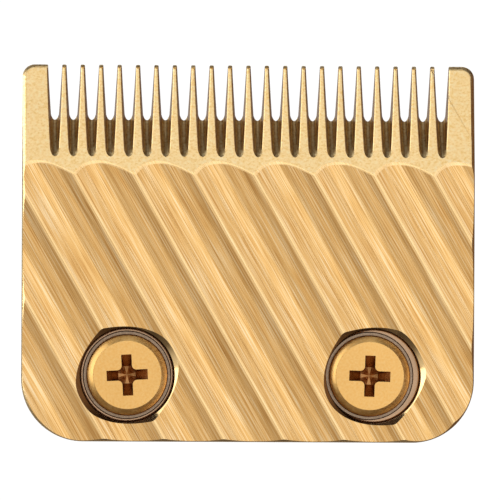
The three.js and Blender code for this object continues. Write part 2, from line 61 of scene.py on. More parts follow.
# Sides of the rounds that show, and of those that other pieces hide.
LARGE_ROUND = 128
MEDIUM_ROUND = 64
# Millimetres under which two points are one, for drawn pieces and for the frame's meshes.
FINE_MERGE = 1e-4
FRAME_MERGE = 1e-3
# Slack in millimetres where a face's place is compared with a size.
TOUCH = 0.02
# Cosines above which a face counts as facing a way exactly, nearly, squarely and broadly.
SAME_WAY = 0.9999
NEARLY = 0.9995
SQUARELY = 0.9
BROADLY = 0.5

Point = tuple[float, float, float]
Stations = Sequence[tuple[float, float]]


class Side(Enum):
    """Left and right of the head, as seen from the fluted front."""

    LEFT = "left"
    RIGHT = "right"


class Level(Enum):
    """Upper and lower screw of a pair."""

    UPPER = "upper"
    LOWER = "lower"


class Body(Enum):
    """Moving bodies of the frame."""

    FRAME = "frame"
    COMB = "comb_carriage"
    CUTTER = "cutter_set"


# ------------------------------------------------------------------ modelling bench


class Element(Enum):
    """Parts of an open mesh that can be selected."""

    EDGE = "EDGE"
    FACE = "FACE"


def node_box(node: str) -> tuple[Vector, Vector]:
    """Finds a CAD node's box.

    Args:
        node: Name of the CAD node.

    Returns:
        Its lowest and highest corners in millimetres.
    """
    low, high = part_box(node)
    return low / MM, high / MM


def activate(obj: bpy.types.Object) -> None:
    """Makes an object the only selected one and the active one.

    Args:
        obj: The object.
    """
    bpy.ops.object.select_all(action="DESELECT")
    obj.select_set(True)
    bpy.context.view_layer.objects.active = obj


@contextmanager
def editing(obj: bpy.types.Object) -> Iterator[None]:
    """Opens an object in edit mode with everything selected, and closes it again.

    Args:
        obj: The object.
    """
    activate(obj)
    bpy.ops.object.mode_set(mode="EDIT")
    bpy.ops.mesh.select_all(action="SELECT")
    yield
    bpy.ops.object.mode_set(mode="OBJECT")


def pick(obj: bpy.types.Object, kind: Element, test: Callable[..., bool]) -> None:
    """Selects the parts of an open mesh that pass a test.

    Args:
        obj: Object in edit mode.
        kind: Whether edges or faces are picked.
        test: Called with each edge or face.
    """
    bpy.ops.mesh.select_mode(type=kind.value)
    bpy.ops.mesh.select_all(action="DESELECT")
    mesh = bmesh.from_edit_mesh(obj.data)
    for part in mesh.edges if kind is Element.EDGE else mesh.faces:
        if test(part):
            part.select_set(True)
    mesh.select_flush_mode()
    bmesh.update_edit_mesh(obj.data)


def freeze(obj: bpy.types.Object) -> bpy.types.Object:
    """Puts an object's place, turn and scale into its mesh.

    Args:
        obj: The object.

    Returns:
        The same object.
    """
    activate(obj)
    bpy.ops.object.transform_apply(location=True, rotation=True, scale=True)
    return obj


def add_box(name: str, low: Sequence[float], high: Sequence[float]) -> bpy.types.Object:
    """Adds a block.

    Args:
        name: Name of the new object.
        low: Lowest corner.
        high: Highest corner.

    Returns:
        The block, with its place in its mesh.
    """
    low, high = Vector(low), Vector(high)
    bpy.ops.mesh.primitive_cube_add(size=1, location=(low + high) / 2, scale=high - low)
    obj = bpy.context.object
    obj.name = name
    return freeze(obj)


def add_turned(name: str, centre: Sequence[float], stations: Stations, sides: int) -> bpy.types.Object:
    """Adds a turned solid about an axis along Y, extruded from station to station.

    Args:
        name: Name of the new object.
        centre: X and Z of the axis.
        stations: Pairs of radius and Y, from one flat end to the other.
        sides: Number of sides of the round.

    Returns:
        The closed solid.
    """
    x, z = centre
    radius, y = stations[0]
    bpy.ops.mesh.primitive_circle_add(
        vertices=sides, radius=radius, fill_type="NGON",
        location=(x, y, z), rotation=(math.pi / 2, 0, 0),
    )
    obj = freeze(bpy.context.object)
    obj.name = name
    with editing(obj):
        for next_radius, next_y in stations[1:]:
            extrude(next_y - y)
            scale_across(next_radius / radius, (x, next_y, z))
            radius, y = next_radius, next_y
    return outward(obj)


def extrude(length: float) -> None:
    """Extrudes what is selected along Y, in edit mode."""
    bpy.ops.mesh.extrude_region_move(TRANSFORM_OT_translate={"value": (0, length, 0)})


def scale_across(ratio: float, centre: Point) -> None:
    """Scales what is selected in X and Z about a centre, in edit mode."""
    bpy.ops.transform.resize(value=(ratio, 1, ratio), center_override=centre)


def quarter(steps: int) -> list[tuple[float, float]]:
    """Finds the points of a quarter of a unit circle.

    Args:
        steps: Steps from its start to its end.

    Returns:
        Cosine and sine of each point.
    """
    turns = [math.radians(90 * step / steps) for step in range(steps + 1)]
    return [(math.cos(turn), math.sin(turn)) for turn in turns]


def add_outline(name: str, corners: Sequence[Sequence[float]]) -> bpy.types.Object:
    """Adds one flat face.

    Args:
        name: Name of the new object.
        corners: Its corners, going round once.

    Returns:
        The face.
    """
    bpy.ops.mesh.primitive_circle_add(vertices=len(corners), radius=1, fill_type="NGON")
    obj = bpy.context.object
    obj.name = name
    for vertex, corner in zip(obj.data.vertices, corners):
        vertex.co = corner
    return obj


def outward(obj: bpy.types.Object) -> bpy.types.Object:
    """Merges an object's doubled points and points its faces outwards.

    Args:
        obj: The object.

    Returns:
        The same object.
    """
    with editing(obj):
        bpy.ops.mesh.remove_doubles(threshold=FINE_MERGE)
        bpy.ops.mesh.normals_make_consistent(inside=False)
    return obj


def cut(body: bpy.types.Object, *tools: bpy.types.Object) -> None:
    """Cuts closed tools from a closed body, and removes them.

    Args:
        body: The body.
        tools: The tools, cut one after the other.
    """
    for tool in tools:
        modifier = body.modifiers.new("cut", "BOOLEAN")
        modifier.object = tool
        modifier.operation = "DIFFERENCE"
        modifier.solver = "MANIFOLD"
        activate(body)
        bpy.ops.object.modifier_apply(modifier=modifier.name)
        bpy.data.objects.remove(tool)


def round_uprights(obj: bpy.types.Object, radius: float, segments: int, upper: bool) -> None:
    """Rounds the two lower or the two upper corners of a block's outline.

    Args:
        obj: A block whose outline lies in X and Z.
        radius: Corner radius.
        segments: Segments of each round.
        upper: Whether the upper corners are rounded.
    """
    middle = sum(corner[2] for corner in obj.bound_box) / len(obj.bound_box)

    def is_corner(edge: bmesh.types.BMEdge) -> bool:
        """Tells whether an edge runs along Y on the wanted half.

        Args:
            edge: The edge.

        Returns:
            True for the upright edges of the wanted corners.
        """
        first, second = (vert.co for vert in edge.verts)
        along = abs(first.x - second.x) < FINE_MERGE and abs(first.z - second.z) < FINE_MERGE
        return along and (first.z > middle) == upper

    with editing(obj):
        pick(obj, Element.EDGE, is_corner)
        bpy.ops.mesh.bevel(offset=radius, segments=segments, profile=0.5, clamp_overlap=False)


def break_edges(obj: bpy.types.Object, width: float, segments: int = 2, angle: float = 40.0) -> None:
    """Breaks every sharp edge of a piece.

    Args:
        obj: The piece.
        width: Width of the break.
        segments: Segments across it.
        angle: Smallest angle in degrees that counts as sharp.
    """
    modifier = obj.modifiers.new("edge break", "BEVEL")
    modifier.width = width
    modifier.segments = segments
    modifier.limit_method = "ANGLE"
    modifier.angle_limit = math.radians(angle)
    modifier.use_clamp_overlap = True
    activate(obj)
    bpy.ops.object.modifier_apply(modifier=modifier.name)


def smooth(obj: bpy.types.Object, angle: float = 32.0, keep_marks: bool = False) -> None:
    """Shades curved faces smooth and keeps flat faces flat up to their edges.

    Args:
        obj: The piece.
        angle: Smallest angle in degrees that shows as an edge.
        keep_marks: Whether edges already marked sharp stay sharp.
    """
    activate(obj)
    bpy.ops.object.shade_smooth_by_angle(angle=math.radians(angle), keep_sharp_edges=keep_marks)
    modifier = obj.modifiers.new("flat faces", "WEIGHTED_NORMAL")
    modifier.mode = "FACE_AREA"
    modifier.weight = 50
    modifier.keep_sharp = True
    bpy.ops.object.modifier_apply(modifier=modifier.name)


def copy_of(obj: bpy.types.Object, name: str) -> bpy.types.Object:
    """Copies an object with its own mesh.

    Args:
        obj: The object.
        name: Name of the copy.

    Returns:
        The copy.
    """
    activate(obj)
    bpy.ops.object.duplicate()
    twin = bpy.context.object
    twin.name = name
    return twin


# ------------------------------------------------------------------ finishes


def linear(hex_colour: str) -> tuple[float, float, float, float]:
    """Turns an sRGB hex colour into linear light.

    Args:
        hex_colour: Six hex digits after a hash sign.

    Returns:
        Red, green, blue and alpha.
    """
    channels = [int(hex_colour[start:start + 2], 16) / 255 for start in (1, 3, 5)]
    light = [c / 12.92 if c <= 0.04045 else ((c + 0.055) / 1.055) ** 2.4 for c in channels]
    return (*light, 1.0)


def add_node(
    tree: bpy.types.NodeTree, kind: str, settings: dict | None = None, links: dict | None = None
) -> bpy.types.Node:
    """Adds a shader node with its settings and links.

    Args:
        tree: Node tree to add to.
        kind: Type of the node.
        settings: Values by attribute name or by input socket name or number. A colour ramp
            takes "stops", pairs of place and hex colour.
        links: Output sockets by the name or number of the input they feed.

    Returns:
        The new node.
    """
    node = tree.nodes.new(kind)
    for key, value in (settings or {}).items():
        if key == "stops":
            elements = node.color_ramp.elements
            for place, _ in value[2:]:
                elements.new(place)
            for element, (place, colour) in zip(elements, value):
                element.position = place
                element.color = linear(colour)
        elif isinstance(key, str) and hasattr(node, key):
            setattr(node, key, value)
        else:
            node.inputs[key].default_value = value
    for key, socket in (links or {}).items():
        tree.links.new(socket, node.inputs[key])
    return node


# Settings of a node that multiplies one colour by another.
MULTIPLY = {"data_type": "RGBA", "blend_type": "MULTIPLY", "Factor": 1.0}
# Noise stays mostly between these two values.
NOISE_LOW, NOISE_HIGH = 0.3, 0.7
NOISE_SPAN = {"From Min": NOISE_LOW, "From Max": NOISE_HIGH}


def new_surface(name: str) -> tuple[bpy.types.Material, bpy.types.NodeTree, bpy.types.Node]:
    """Starts a material.

    Args:
        name: Name of the material.

    Returns:
        The material, its node tree and its shader.
    """
    material = bpy.data.materials.new(name)
    material.use_nodes = True
    tree = material.node_tree
    return material, tree, tree.nodes["Principled BSDF"]


@dataclass(frozen=True)
class Grain:
    """One layer of surface texture: noise with its own grain size along each turned axis.

    Args:
        spacing: Grain size in millimetres along the turned X, Y and Z.
        turn: Turn about the Y axis, in degrees.
        detail: Octaves of finer noise.
        harshness: Strength of each finer octave against the one before.
    """

    spacing: Point
    turn: float = 0.0
    detail: float = 2.0
    harshness: float = 0.55

    def socket(self, tree: bpy.types.NodeTree) -> bpy.types.NodeSocket:
        """Adds the layer to a material.

        Args:
            tree: Node tree to add to.

        Returns:
            The noise's value socket.
        """
        place = add_node(tree, "ShaderNodeTexCoord")
        turned = add_node(
            tree, "ShaderNodeMapping",
            {"vector_type": "TEXTURE", "Rotation": (0.0, math.radians(self.turn), 0.0)},
            {"Vector": place.outputs["Object"]},
        )
        scaled = add_node(
            tree, "ShaderNodeMapping", {"Scale": [1 / (size * MM) for size in self.spacing]},
            {"Vector": turned.outputs["Vector"]},
        )
        noise = add_node(
            tree, "ShaderNodeTexNoise",
            {"Scale": 1.0, "Detail": self.detail, "Roughness": self.harshness},
            {"Vector": scaled.outputs["Vector"]},
        )
        return noise.outputs["Fac"]


@dataclass(frozen=True)
class Finish:
    """A metal or moulded surface with fine texture and slow tone changes.

    Args:
        name: Name of the material.
        tones: Dark, middle and light colours of the fine texture.
        fine: The fine texture.
        broad: The slow tone changes.
        roughness: Lowest and highest roughness.
        relief: Depth of the fine texture in millimetres.
        metallic: 1 for metal, 0 for plastic.
        shade: Darkest and lightest strength of the slow tone changes.
    """

    name: str
    tones: tuple[str, str, str]
    fine: Grain
    broad: Grain
    roughness: tuple[float, float]
    relief: float
    metallic: float = 1.0
    shade: tuple[float, float] = (0.9, 1.0)

    def build(self) -> bpy.types.Material:
        """Builds the material.

        Returns:
            The material.
        """
        material, tree, shader = new_surface(self.name)
        fine = self.fine.socket(tree)
        broad = self.broad.socket(tree)
        middle = (NOISE_LOW + NOISE_HIGH) / 2
        stops = list(zip((NOISE_LOW, middle, NOISE_HIGH), self.tones))
        colour = add_node(tree, "ShaderNodeValToRGB", {"stops": stops}, {"Fac": fine})
        darkest, lightest = self.shade
        shade = add_node(
            tree, "ShaderNodeMapRange", {**NOISE_SPAN, "To Min": darkest, "To Max": lightest},
            {"Value": broad},
        )
        grey = add_node(
            tree, "ShaderNodeCombineColor",
            links={channel: shade.outputs["Result"] for channel in ("Red", "Green", "Blue")},
        )
        toned = add_node(
            tree, "ShaderNodeMix", MULTIPLY, {6: colour.outputs["Color"], 7: grey.outputs["Color"]}
        )
        bump = add_node(
            tree, "ShaderNodeBump", {"Strength": 1.0, "Distance": self.relief * MM}, {"Height": fine}
        )
        smoothest, roughest = self.roughness
        polish = add_node(
            tree, "ShaderNodeMapRange", {**NOISE_SPAN, "To Min": smoothest, "To Max": roughest},
            {"Value": fine},
        )
        tree.links.new(toned.outputs[2], shader.inputs["Base Color"])
        tree.links.new(polish.outputs["Result"], shader.inputs["Roughness"])
        tree.links.new(bump.outputs["Normal"], shader.inputs["Normal"])
        shader.inputs["Metallic"].default_value = self.metallic
        return material


# Degrees by which the flutes lean, from level.
FLUTE_ANGLE = 60.2

# In the finishes below, scratches, grit and film lines that are really finer than 0.12 mm are
# drawn 0.12 to 0.3 mm wide, as coarse as they need to be to show.

# Titanium nitride on ground steel: the stone leaves fine scratches along the flutes, so the eye
# sees long streaks of lighter and deeper gold.
FLUTED_NITRIDE = Finish(
    name="titanium_nitride_ground_along_flutes",
    tones=("#c99552", "#edc27d", "#ffe8bb"),
    fine=Grain(spacing=(7.0, 7.0, 0.12), turn=FLUTE_ANGLE, detail=3.0),
    broad=Grain(spacing=(30.0, 30.0, 0.45), turn=FLUTE_ANGLE, detail=3.0),
    roughness=(0.1, 0.16),
    relief=0.002,
    shade=(0.86, 1.0),
)

# The crests between the flutes are burnished by polishing, so their scratches are shallower. Their paler
# colour, also given to the rounds above the flutes and the counterbores' rims, is partly painted
# highlight.
BURNISHED_AND_HIGHLIGHT_NITRIDE = Finish(
    name="titanium_nitride_burnished",
    tones=("#ecc587", "#f5d499", "#fde0ac"),
    fine=Grain(spacing=(5.0, 5.0, 0.12), turn=FLUTE_ANGLE),
    broad=Grain(spacing=(6.0, 6.0, 1.0), turn=FLUTE_ANGLE),
    roughness=(0.1, 0.16),
    relief=0.001,
    shade=(0.95, 1.0),
)

# The tooth face is lapped before coating, so it is satin all over with a faint mottle.
LAPPED_NITRIDE = Finish(
    name="titanium_nitride_lapped",
    tones=("#e7c27c", "#fadb9e", "#ffecba"),
    fine=Grain(spacing=(0.3, 0.3, 0.22), detail=4.0),
    broad=Grain(spacing=(5.0, 5.0, 3.0)),
    roughness=(0.3, 0.4),
    relief=0.002,
    shade=(0.95, 1.0),
)

# Walls left by the grinding wheel in the tooth gaps, and by the counterbore's cutter, are duller, with
# fine lines along the cut; their darker, browner colour is partly painted shade.
WHEEL_CUT_AND_PAINTED_SHADE_NITRIDE = Finish(
    name="titanium_nitride_wheel_cut",
    tones=("#bd9e80", "#c8a98a", "#d2b495"),
    fine=Grain(spacing=(0.12, 3.0, 3.0)),
    broad=Grain(spacing=(2.0, 2.0, 2.0)),
    roughness=(0.22, 0.32),
    relief=0.002,
)

# Coated screw heads are cold formed and barrel polished, so they are even and satin.
SCREW_NITRIDE = Finish(
    name="titanium_nitride_cold_formed",
    tones=("#f0be6f", "#f6c77b", "#fad188"),
    fine=Grain(spacing=(0.25, 0.25, 0.25)),
    broad=Grain(spacing=(3.0, 3.0, 3.0)),
    roughness=(0.28, 0.36),
    relief=0.0015,
    shade=(0.95, 1.0),
)

# The punched cross recess gets a darker brown than the head: painted shade in the recess.
RECESS_PAINTED_SHADE_NITRIDE = Finish(
    name="titanium_nitride_painted_shade_in_recess",
    tones=("#a87a4a", "#b88654", "#cb9a66"),
    fine=Grain(spacing=(0.15, 0.15, 0.15)),
    broad=Grain(spacing=(1.0, 1.0, 1.0)),
    roughness=(0.2, 0.4),
    relief=0.004,
)

# Nickel-plated washers look a little warm beside the coated steel.
NICKEL_PLATE = Finish(
    name="nickel_plate_stamped",
    tones=("#8f7d6c", "#a2907d", "#b3a18d"),
    fine=Grain(spacing=(0.2, 0.2, 0.2)),
    broad=Grain(spacing=(2.0, 2.0, 2.0)),
    roughness=(0.26, 0.36),
    relief=0.002,
)

# Zinc plate on rolled steel keeps faint rolling lines under a milky, slightly uneven film.
ZINC_PLATE = Finish(
    name="zinc_plate_on_rolled_steel",
    tones=("#b9bcbd", "#c9cbca", "#d8d7d2"),
    fine=Grain(spacing=(3.0, 0.3, 0.15)),
    broad=Grain(spacing=(4.0, 4.0, 4.0)),
    roughness=(0.3, 0.45),
    relief=0.003,
    shade=(0.88, 1.0),
)

# Surface-ground steel shows bright straight lines along the pass of the wheel.
GROUND_STEEL = Finish(
    name="surface_ground_steel",
    tones=("#a9a8a6", "#bcbab7", "#cfccc8"),
    fine=Grain(spacing=(0.14, 3.0, 4.0)),
    broad=Grain(spacing=(1.2, 6.0, 9.0)),
    roughness=(0.2, 0.32),
    relief=0.003,
)

# The cutter is hardened and lapped, a darker and tighter steel than the mild steel parts.
LAPPED_CUTTER = Finish(
    name="hardened_lapped_steel",
    tones=("#8f9092", "#a5a6a7", "#b8b8b7"),
    fine=Grain(spacing=(3.5, 3.0, 0.14)),
    broad=Grain(spacing=(8.0, 8.0, 1.5)),
    roughness=(0.18, 0.3),
    relief=0.0025,
)

# Drawn spring wire carries a thin dark oil film with die lines along it.
SPRING_WIRE = Finish(
    name="drawn_spring_wire",
    tones=("#5d5a57", "#716e6a", "#86827d"),
    fine=Grain(spacing=(0.2, 0.2, 1.0)),
    broad=Grain(spacing=(1.5, 1.5, 1.5)),
    roughness=(0.2, 0.34),
    relief=0.002,
)

# Shot-blasted die casting: an even, dull, pebbled grey.
CAST_ALLOY = Finish(
    name="shot_blasted_die_cast_alloy",
    tones=("#7d8085", "#8f9296", "#a1a3a6"),
    fine=Grain(spacing=(0.22, 0.22, 0.22), detail=3.0),
    broad=Grain(spacing=(6.0, 6.0, 6.0)),
    roughness=(0.5, 0.62),
    relief=0.02,
    shade=(0.88, 1.0),
)

# Glass-filled nylon takes the spark-eroded grain of its mould and is nearly black.
MOULDED_NYLON = Finish(
    name="glass_filled_nylon",
    tones=("#1b1d20", "#222528", "#2b2e32"),
    fine=Grain(spacing=(0.18, 0.18, 0.18), detail=3.0),
    broad=Grain(spacing=(3.0, 3.0, 3.0)),
    roughness=(0.45, 0.6),
    relief=0.012,
    metallic=0.0,
    shade=(0.8, 1.0),
)


class FinishShelf:
    """Builds each material once, when it is first asked for."""

    def __init__(self) -> None:
        """Starts with an empty shelf."""
        self.made: dict[str, bpy.types.Material] = {}

    def get(self, finish: Finish) -> bpy.types.Material:
        """Gives a finish's material.

        Args:
            finish: The finish wanted.

        Returns:
            Its material.
        """
        if finish.name not in self.made:
            self.made[finish.name] = finish.build()
        return self.made[finish.name]


SHELF = FinishShelf()


def dress(obj: bpy.types.Object, *finishes: Finish) -> None:
    """Gives a piece its materials, the first one all over.

    Args:
        obj: The piece.
        finishes: Finishes of its material slots, in order.
    """
    obj.data.materials.clear()
    for finish in finishes:
        obj.data.materials.append(SHELF.get(finish))
    for polygon in obj.data.polygons:
        polygon.material_index = 0


def hand_over(obj: bpy.types.Object, node: str, body: Body) -> None:
    """Brings a finished piece to metres and puts it in its CAD node's place.

    Args:
        obj: The piece, in millimetres.
        node: CAD node that it replaces.
        body: Body that it rides on.
    """
    obj.scale = (MM, MM, MM)
    freeze(obj)
    obj.name = f"{node}_piece"
    obj.data.name = obj.name
    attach(obj, body.value)
    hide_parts(node)
    LOG.info("%s: %d faces", obj.name, len(obj.data.polygons))


# ------------------------------------------------------------------ comb blade


class CombFinish(IntEnum):
    """Material slots of the comb blade."""

    LAPPED = 0
    FLUTED = 1
    # Duller wheel-cut finish, darker in part as painted shade.
    WHEEL_CUT_AND_PAINTED_SHADE = 2
    # Burnished finish, paler in part as painted highlight.
    BURNISHED_AND_HIGHLIGHT = 3


@dataclass
class CombBlade:
    """The fixed blade: fluted front, sloping tooth face, tooth gaps and counterbored holes.

    Lengths are in millimetres. The gaps' break-out and end, and where the flutes may start, are
    taken down from the tips. The rim is the wheel's section, as depth and half width from its
    edge. Edge insets and drops are the steps of the broken front edge. A gap wall's normal stays
    under wall_limit in Z, and crest_polish_and_highlight is the share of a crest that gets the paler
    burnished finish, partly painted highlight.
    """

    low: Vector = field(init=False)
    high: Vector = field(init=False)
    top_radius: float = 1.25
    bottom_radius: float = 6.3
    top_segments: int = 8
    bottom_segments: int = 24
    tip_thickness: float = 0.35
    bevel_angle: float = math.radians(15)
    edge_inset: tuple[float, ...] = (0.0, 0.12, 0.12, 0.13)
    edge_drop: tuple[float, ...] = (0.6, 0.34, 0.13, 0.0)
    tip_drop_share: float = 0.36
    proud: float = 0.03
    flute_pitch: float = 5.29
    flute_depth: float = 0.335
    flute_chord: float = 5.14
    flute_span: int = 6
    crest_half_width: float = 0.3
    crest_drop: float = 0.08
    steps_per_flute: int = 48
    arc_reach: float = 0.2
    arc_rows: int = 5
    tool_above: float = 8.0
    tool_below: float = 6.0
    tool_thickness: float = 6.0
    flat_within: float = 0.25
    gap_count: int = 22
    gap_pitch: float = 1.8755
    wheel_radius: float = 31.0
    rim: Stations = ((0.0, 0.0), (0.035, 0.15), (0.11, 0.26), (0.2, 0.34), (0.3, 0.4))
    gap_edge_break: float = 0.1
    gap_edge_drop: float = 0.065
    gap_half_at_tip: float = 0.71
    tip_round: float = 0.14
    tip_round_steps: int = 4
    tip_lead_in: tuple[float, float] = (0.25, 0.05)
    flank_slope: float = 0.132
    wheel_reach: float = 4.0
    wheel_start: float = math.radians(15)
    wheel_sweep: float = math.radians(32)
    wheel_steps: int = 40
    gap_break_out: float = 5.63
    gap_end: float = 9.28
    hole_x: tuple[float, float] = (-12.24, 12.77)
    counterbore_radius: float = 4.84
    corner_radius: float = 0.27
    corner_steps: int = 6
    rim_break: float = 0.07
    rim_angle: float = math.radians(38)
    rim_reach: float = 1.0
    cone_slack: float = 0.02
    web_thickness: float = 0.9
    hole_radius: float = 2.5
    hollow: tuple[float, float, float] = (11.5, 18.5, 0.3)
    flutes_from: float = 9.0
    crest_polish_and_highlight: float = 0.6
    wall_limit: float = 0.97

    def __post_init__(self) -> None:
        """Reads the blade's box from the frame."""
        self.low, self.high = node_box("comb_blade")

    @property
    def along_turn(self) -> float:
        """Turn about Y that brings the X axis to the flutes' direction."""
        return math.radians(FLUTE_ANGLE)

    @property
    def slope(self) -> Vector:
        """Way that the sloping tooth face faces."""
        return Vector((0, -math.cos(self.bevel_angle), math.sin(self.bevel_angle)))

    @property
    def gap_floor(self) -> float:
        """Height of the gaps' lower ends."""
        return self.high.z - self.gap_end

    @property
    def gap_span(self) -> float:
        """Distance from the middle to the outside of the row of gaps."""
        return self.gap_count * self.gap_pitch / 2

    @property
    def web_front(self) -> float:
        """Y of the counterbores' floors."""
        return self.high.y - self.web_thickness

    @property
    def rim_foot(self) -> float:
        """Y at which a counterbore's broken rim meets its wall."""
        flute_floor = self.low.y + self.crest_drop + self.flute_depth
        return flute_floor + self.rim_break * math.tan(self.rim_angle)

    def face_depth(self, height: float) -> float:
        """Y of the sloping tooth face at a height."""
        return self.high.y - self.tip_thickness - (self.high.z - height) * math.tan(self.bevel_angle)

    def from_ridge(self, across: float) -> float:
        """Distance of a line along the flutes from the nearest ridge."""
        half = self.flute_pitch / 2
        return abs((across + half) % self.flute_pitch - half)

    def from_hole(self, place: Vector) -> float:
        """Distance of a point from the axis of the nearer hole."""
        return min(math.hypot(place.x - x, place.z) for x in self.hole_x)

    def blank(self) -> bpy.types.Object:
        """Makes the plate with its round corners, sloping tooth face and broken front edge.

        Returns:
            The plate.
        """
        obj = add_box("comb_blade_piece", self.low, self.high)
        round_uprights(obj, self.top_radius, self.top_segments, upper=True)
        round_uprights(obj, self.bottom_radius, self.bottom_segments, upper=False)
        tip = Vector((0, self.face_depth(self.high.z) - self.proud, self.high.z))
        with editing(obj):
            bpy.ops.mesh.bisect(
                plane_co=tip, plane_no=self.slope, use_fill=True, clear_outer=True, threshold=FINE_MERGE
            )
            pick(obj, Element.FACE, lambda face: face.normal.y < -BROADLY)
            self.place_front(obj, self.edge_drop[0])
            for inset, drop in zip(self.edge_inset[1:], self.edge_drop[1:]):
                bpy.ops.mesh.inset(thickness=inset, use_even_offset=True)
                self.place_front(obj, drop)
        return outward(obj)

    def place_front(self, obj: bpy.types.Object, drop: float) -> None:
        """Sets how far back the selected part of the front lies.

        Args:
            obj: The blank, in edit mode.
            drop: Distance behind the front face; it shrinks towards the thin tooth tips.
        """
        slope_depth = self.high.y - self.tip_thickness - self.low.y
        flat_top = self.high.z - slope_depth / math.tan(self.bevel_angle)
        mesh = bmesh.from_edit_mesh(obj.data)
        for vertex in mesh.verts:
            if not vertex.select:
                continue
            rise = max(0.0, vertex.co.z - flat_top) / (self.high.z - flat_top)
            share = 1 - rise * (1 - self.tip_drop_share)
            front = max(self.low.y, self.face_depth(vertex.co.z) - self.proud)
            vertex.co.y = front + drop * share
        bmesh.update_edit_mesh(obj.data)

    def wave_height(self, across: float) -> float:
        """Height of the fluted face above the flute floors.

        Args:
            across: Distance across the flutes from a ridge.

        Returns:
            The height: a hollow arc, with a small round crest on each ridge.
        """
        radius = ((self.flute_chord / 2) ** 2 + self.flute_depth ** 2) / (2 * self.flute_depth)
        half = self.flute_pitch / 2
        from_ridge = self.from_ridge(across)
        crest = self.crest_half_width
        slope_sine = (half - crest) / radius
        if from_ridge >= crest:
            return radius - math.sqrt(radius ** 2 - (half - from_ridge) ** 2)
        slope_cosine = math.sqrt(1 - slope_sine ** 2)
        crest_radius = crest / slope_sine
        shoulder = radius * (1 - slope_cosine)
        return shoulder + math.sqrt(crest_radius ** 2 - from_ridge ** 2) - crest_radius * slope_cosine

    def front_point(self, across: float, row: int) -> Vector:
        """Finds a point of the finished front, with X along the flutes and Z across them.

        Args:
            across: Distance across the flutes.
            row: Row of the grid, from above the tips to below the plate.

        Returns:
            The point: on the tooth face, on the round that joins it to the flute, or in the flute.
        """
        sine, cosine = math.sin(self.along_turn), math.cos(self.along_turn)
        wave = self.low.y + self.crest_drop + self.wave_height(0) - self.wave_height(across)
        if row == 0:
            height = self.high.z + self.tool_above
            return Vector(((across * cosine - height) / sine, self.face_depth(height), across))
        if row > self.arc_rows:
            height = self.low.z - self.tool_below
            return Vector(((across * cosine - height) / sine, wave, across))
        drop = self.face_depth(self.high.z) - wave
        meeting = self.high.z - drop / math.tan(self.bevel_angle)
        share = 1 - (row - 1) / (self.arc_rows - 1)
        along = (across * cosine - meeting) / sine + self.arc_reach * (1 - 2 * share)
        rise = self.arc_reach * sine * math.tan(self.bevel_angle)
        return Vector((along, wave + share ** 2 * rise, across))

    def front_tool(self) -> bpy.types.Object:
        """Makes the block that cuts the flutes and the tooth face.

        Returns:
            The closed tool.
        """
        width = 2 * self.flute_span * self.flute_pitch
        steps = 2 * self.flute_span * self.steps_per_flute
        rows = self.arc_rows + 1
        bpy.ops.mesh.primitive_grid_add(
            x_subdivisions=rows, y_subdivisions=steps, size=1, rotation=(math.pi / 2, 0, 0),
        )
        obj = freeze(bpy.context.object)
        for vertex in obj.data.vertices:
            row = round((vertex.co.x + 0.5) * rows)
            vertex.co = self.front_point(vertex.co.z * width, row)
        far = self.low.y - self.tool_thickness
        with editing(obj):
            extrude(-self.tool_thickness)
            bpy.ops.transform.resize(value=(1, 0, 1), center_override=(0, far, 0))
            bpy.ops.mesh.select_all(action="SELECT")
            bpy.ops.mesh.dissolve_limited(angle_limit=math.radians(self.flat_within))
        obj.rotation_euler = (0, self.along_turn, 0)
        return outward(freeze(obj))

    def gap_tools(self) -> bpy.types.Object:
        """Makes the swept wheel rim for every tooth gap.

        Returns:
            The tools, joined into one.
        """
        run = self.gap_end - self.gap_break_out
        rise = self.high.y - self.face_depth(self.gap_floor)
        half_sweep = math.asin(math.hypot(run, rise) / 2 / self.wheel_radius)
        rear_angle = math.atan2(rise, run) - half_sweep
        centre = Vector((
            0,
            self.high.y - self.wheel_radius * math.cos(rear_angle),
            self.high.z - self.gap_break_out + self.wheel_radius * math.sin(rear_angle),
        ))
        deep, wide = self.rim[-1]
        wide += self.flank_slope * (self.wheel_reach - deep)
        half = [*self.rim[1:], (self.wheel_reach, wide)]
        section = [self.rim[0], *half, *((depth, -across) for depth, across in reversed(half))]
        corners = []
        for depth, across in section:
            radius = self.wheel_radius - depth
            up, down = radius * math.cos(self.wheel_start), radius * math.sin(self.wheel_start)
            corners.append(centre + Vector((across, up, -down)))
        obj = add_outline("gap_tool", corners)
        with editing(obj):
            bpy.ops.mesh.spin(
                steps=self.wheel_steps, angle=self.wheel_sweep, center=centre, axis=(1, 0, 0)
            )
        return self.at_gaps(outward(obj))

    def at_gaps(self, obj: bpy.types.Object) -> bpy.types.Object:
        """Copies a tool to every gap and joins the copies into one object.

        Args:
            obj: Tool for a gap at X = 0.

        Returns:
            The joined tools.
        """
        tools = []
        for index in range(self.gap_count):
            tool = copy_of(obj, f"{obj.name}_{index}")
            tool.location.x = (index - (self.gap_count - 1) / 2) * self.gap_pitch
            tools.append(freeze(tool))
        bpy.data.objects.remove(obj)
        activate(tools[0])
        for tool in tools:
            tool.select_set(True)
        bpy.ops.object.join()
        return tools[0]

    def tip_tools(self) -> bpy.types.Object:
        """Makes the flared block that rounds the tooth tips at each gap.

        Returns:
            The blocks, joined into one tool.
        """
        radius, wall, top = self.tip_round, self.gap_half_at_tip, self.high.z
        inwards, downwards = self.tip_lead_in
        half = [
            (wall - inwards, top - radius - downwards),
            *(
                (wall + radius * (1 - cosine), top - radius * (1 - sine))
                for cosine, sine in quarter(self.tip_round_steps)
            ),
            (wall + radius, top + OVERCUT),
        ]
        outline = [*half, *((-across, height) for across, height in reversed(half))]
        rear = self.high.y + OVERCUT
        obj = add_outline("tip_tool", [(across, rear, height) for across, height in outline])
        with editing(obj):
            extrude(-3 * OVERCUT)
        return self.at_gaps(outward(obj))

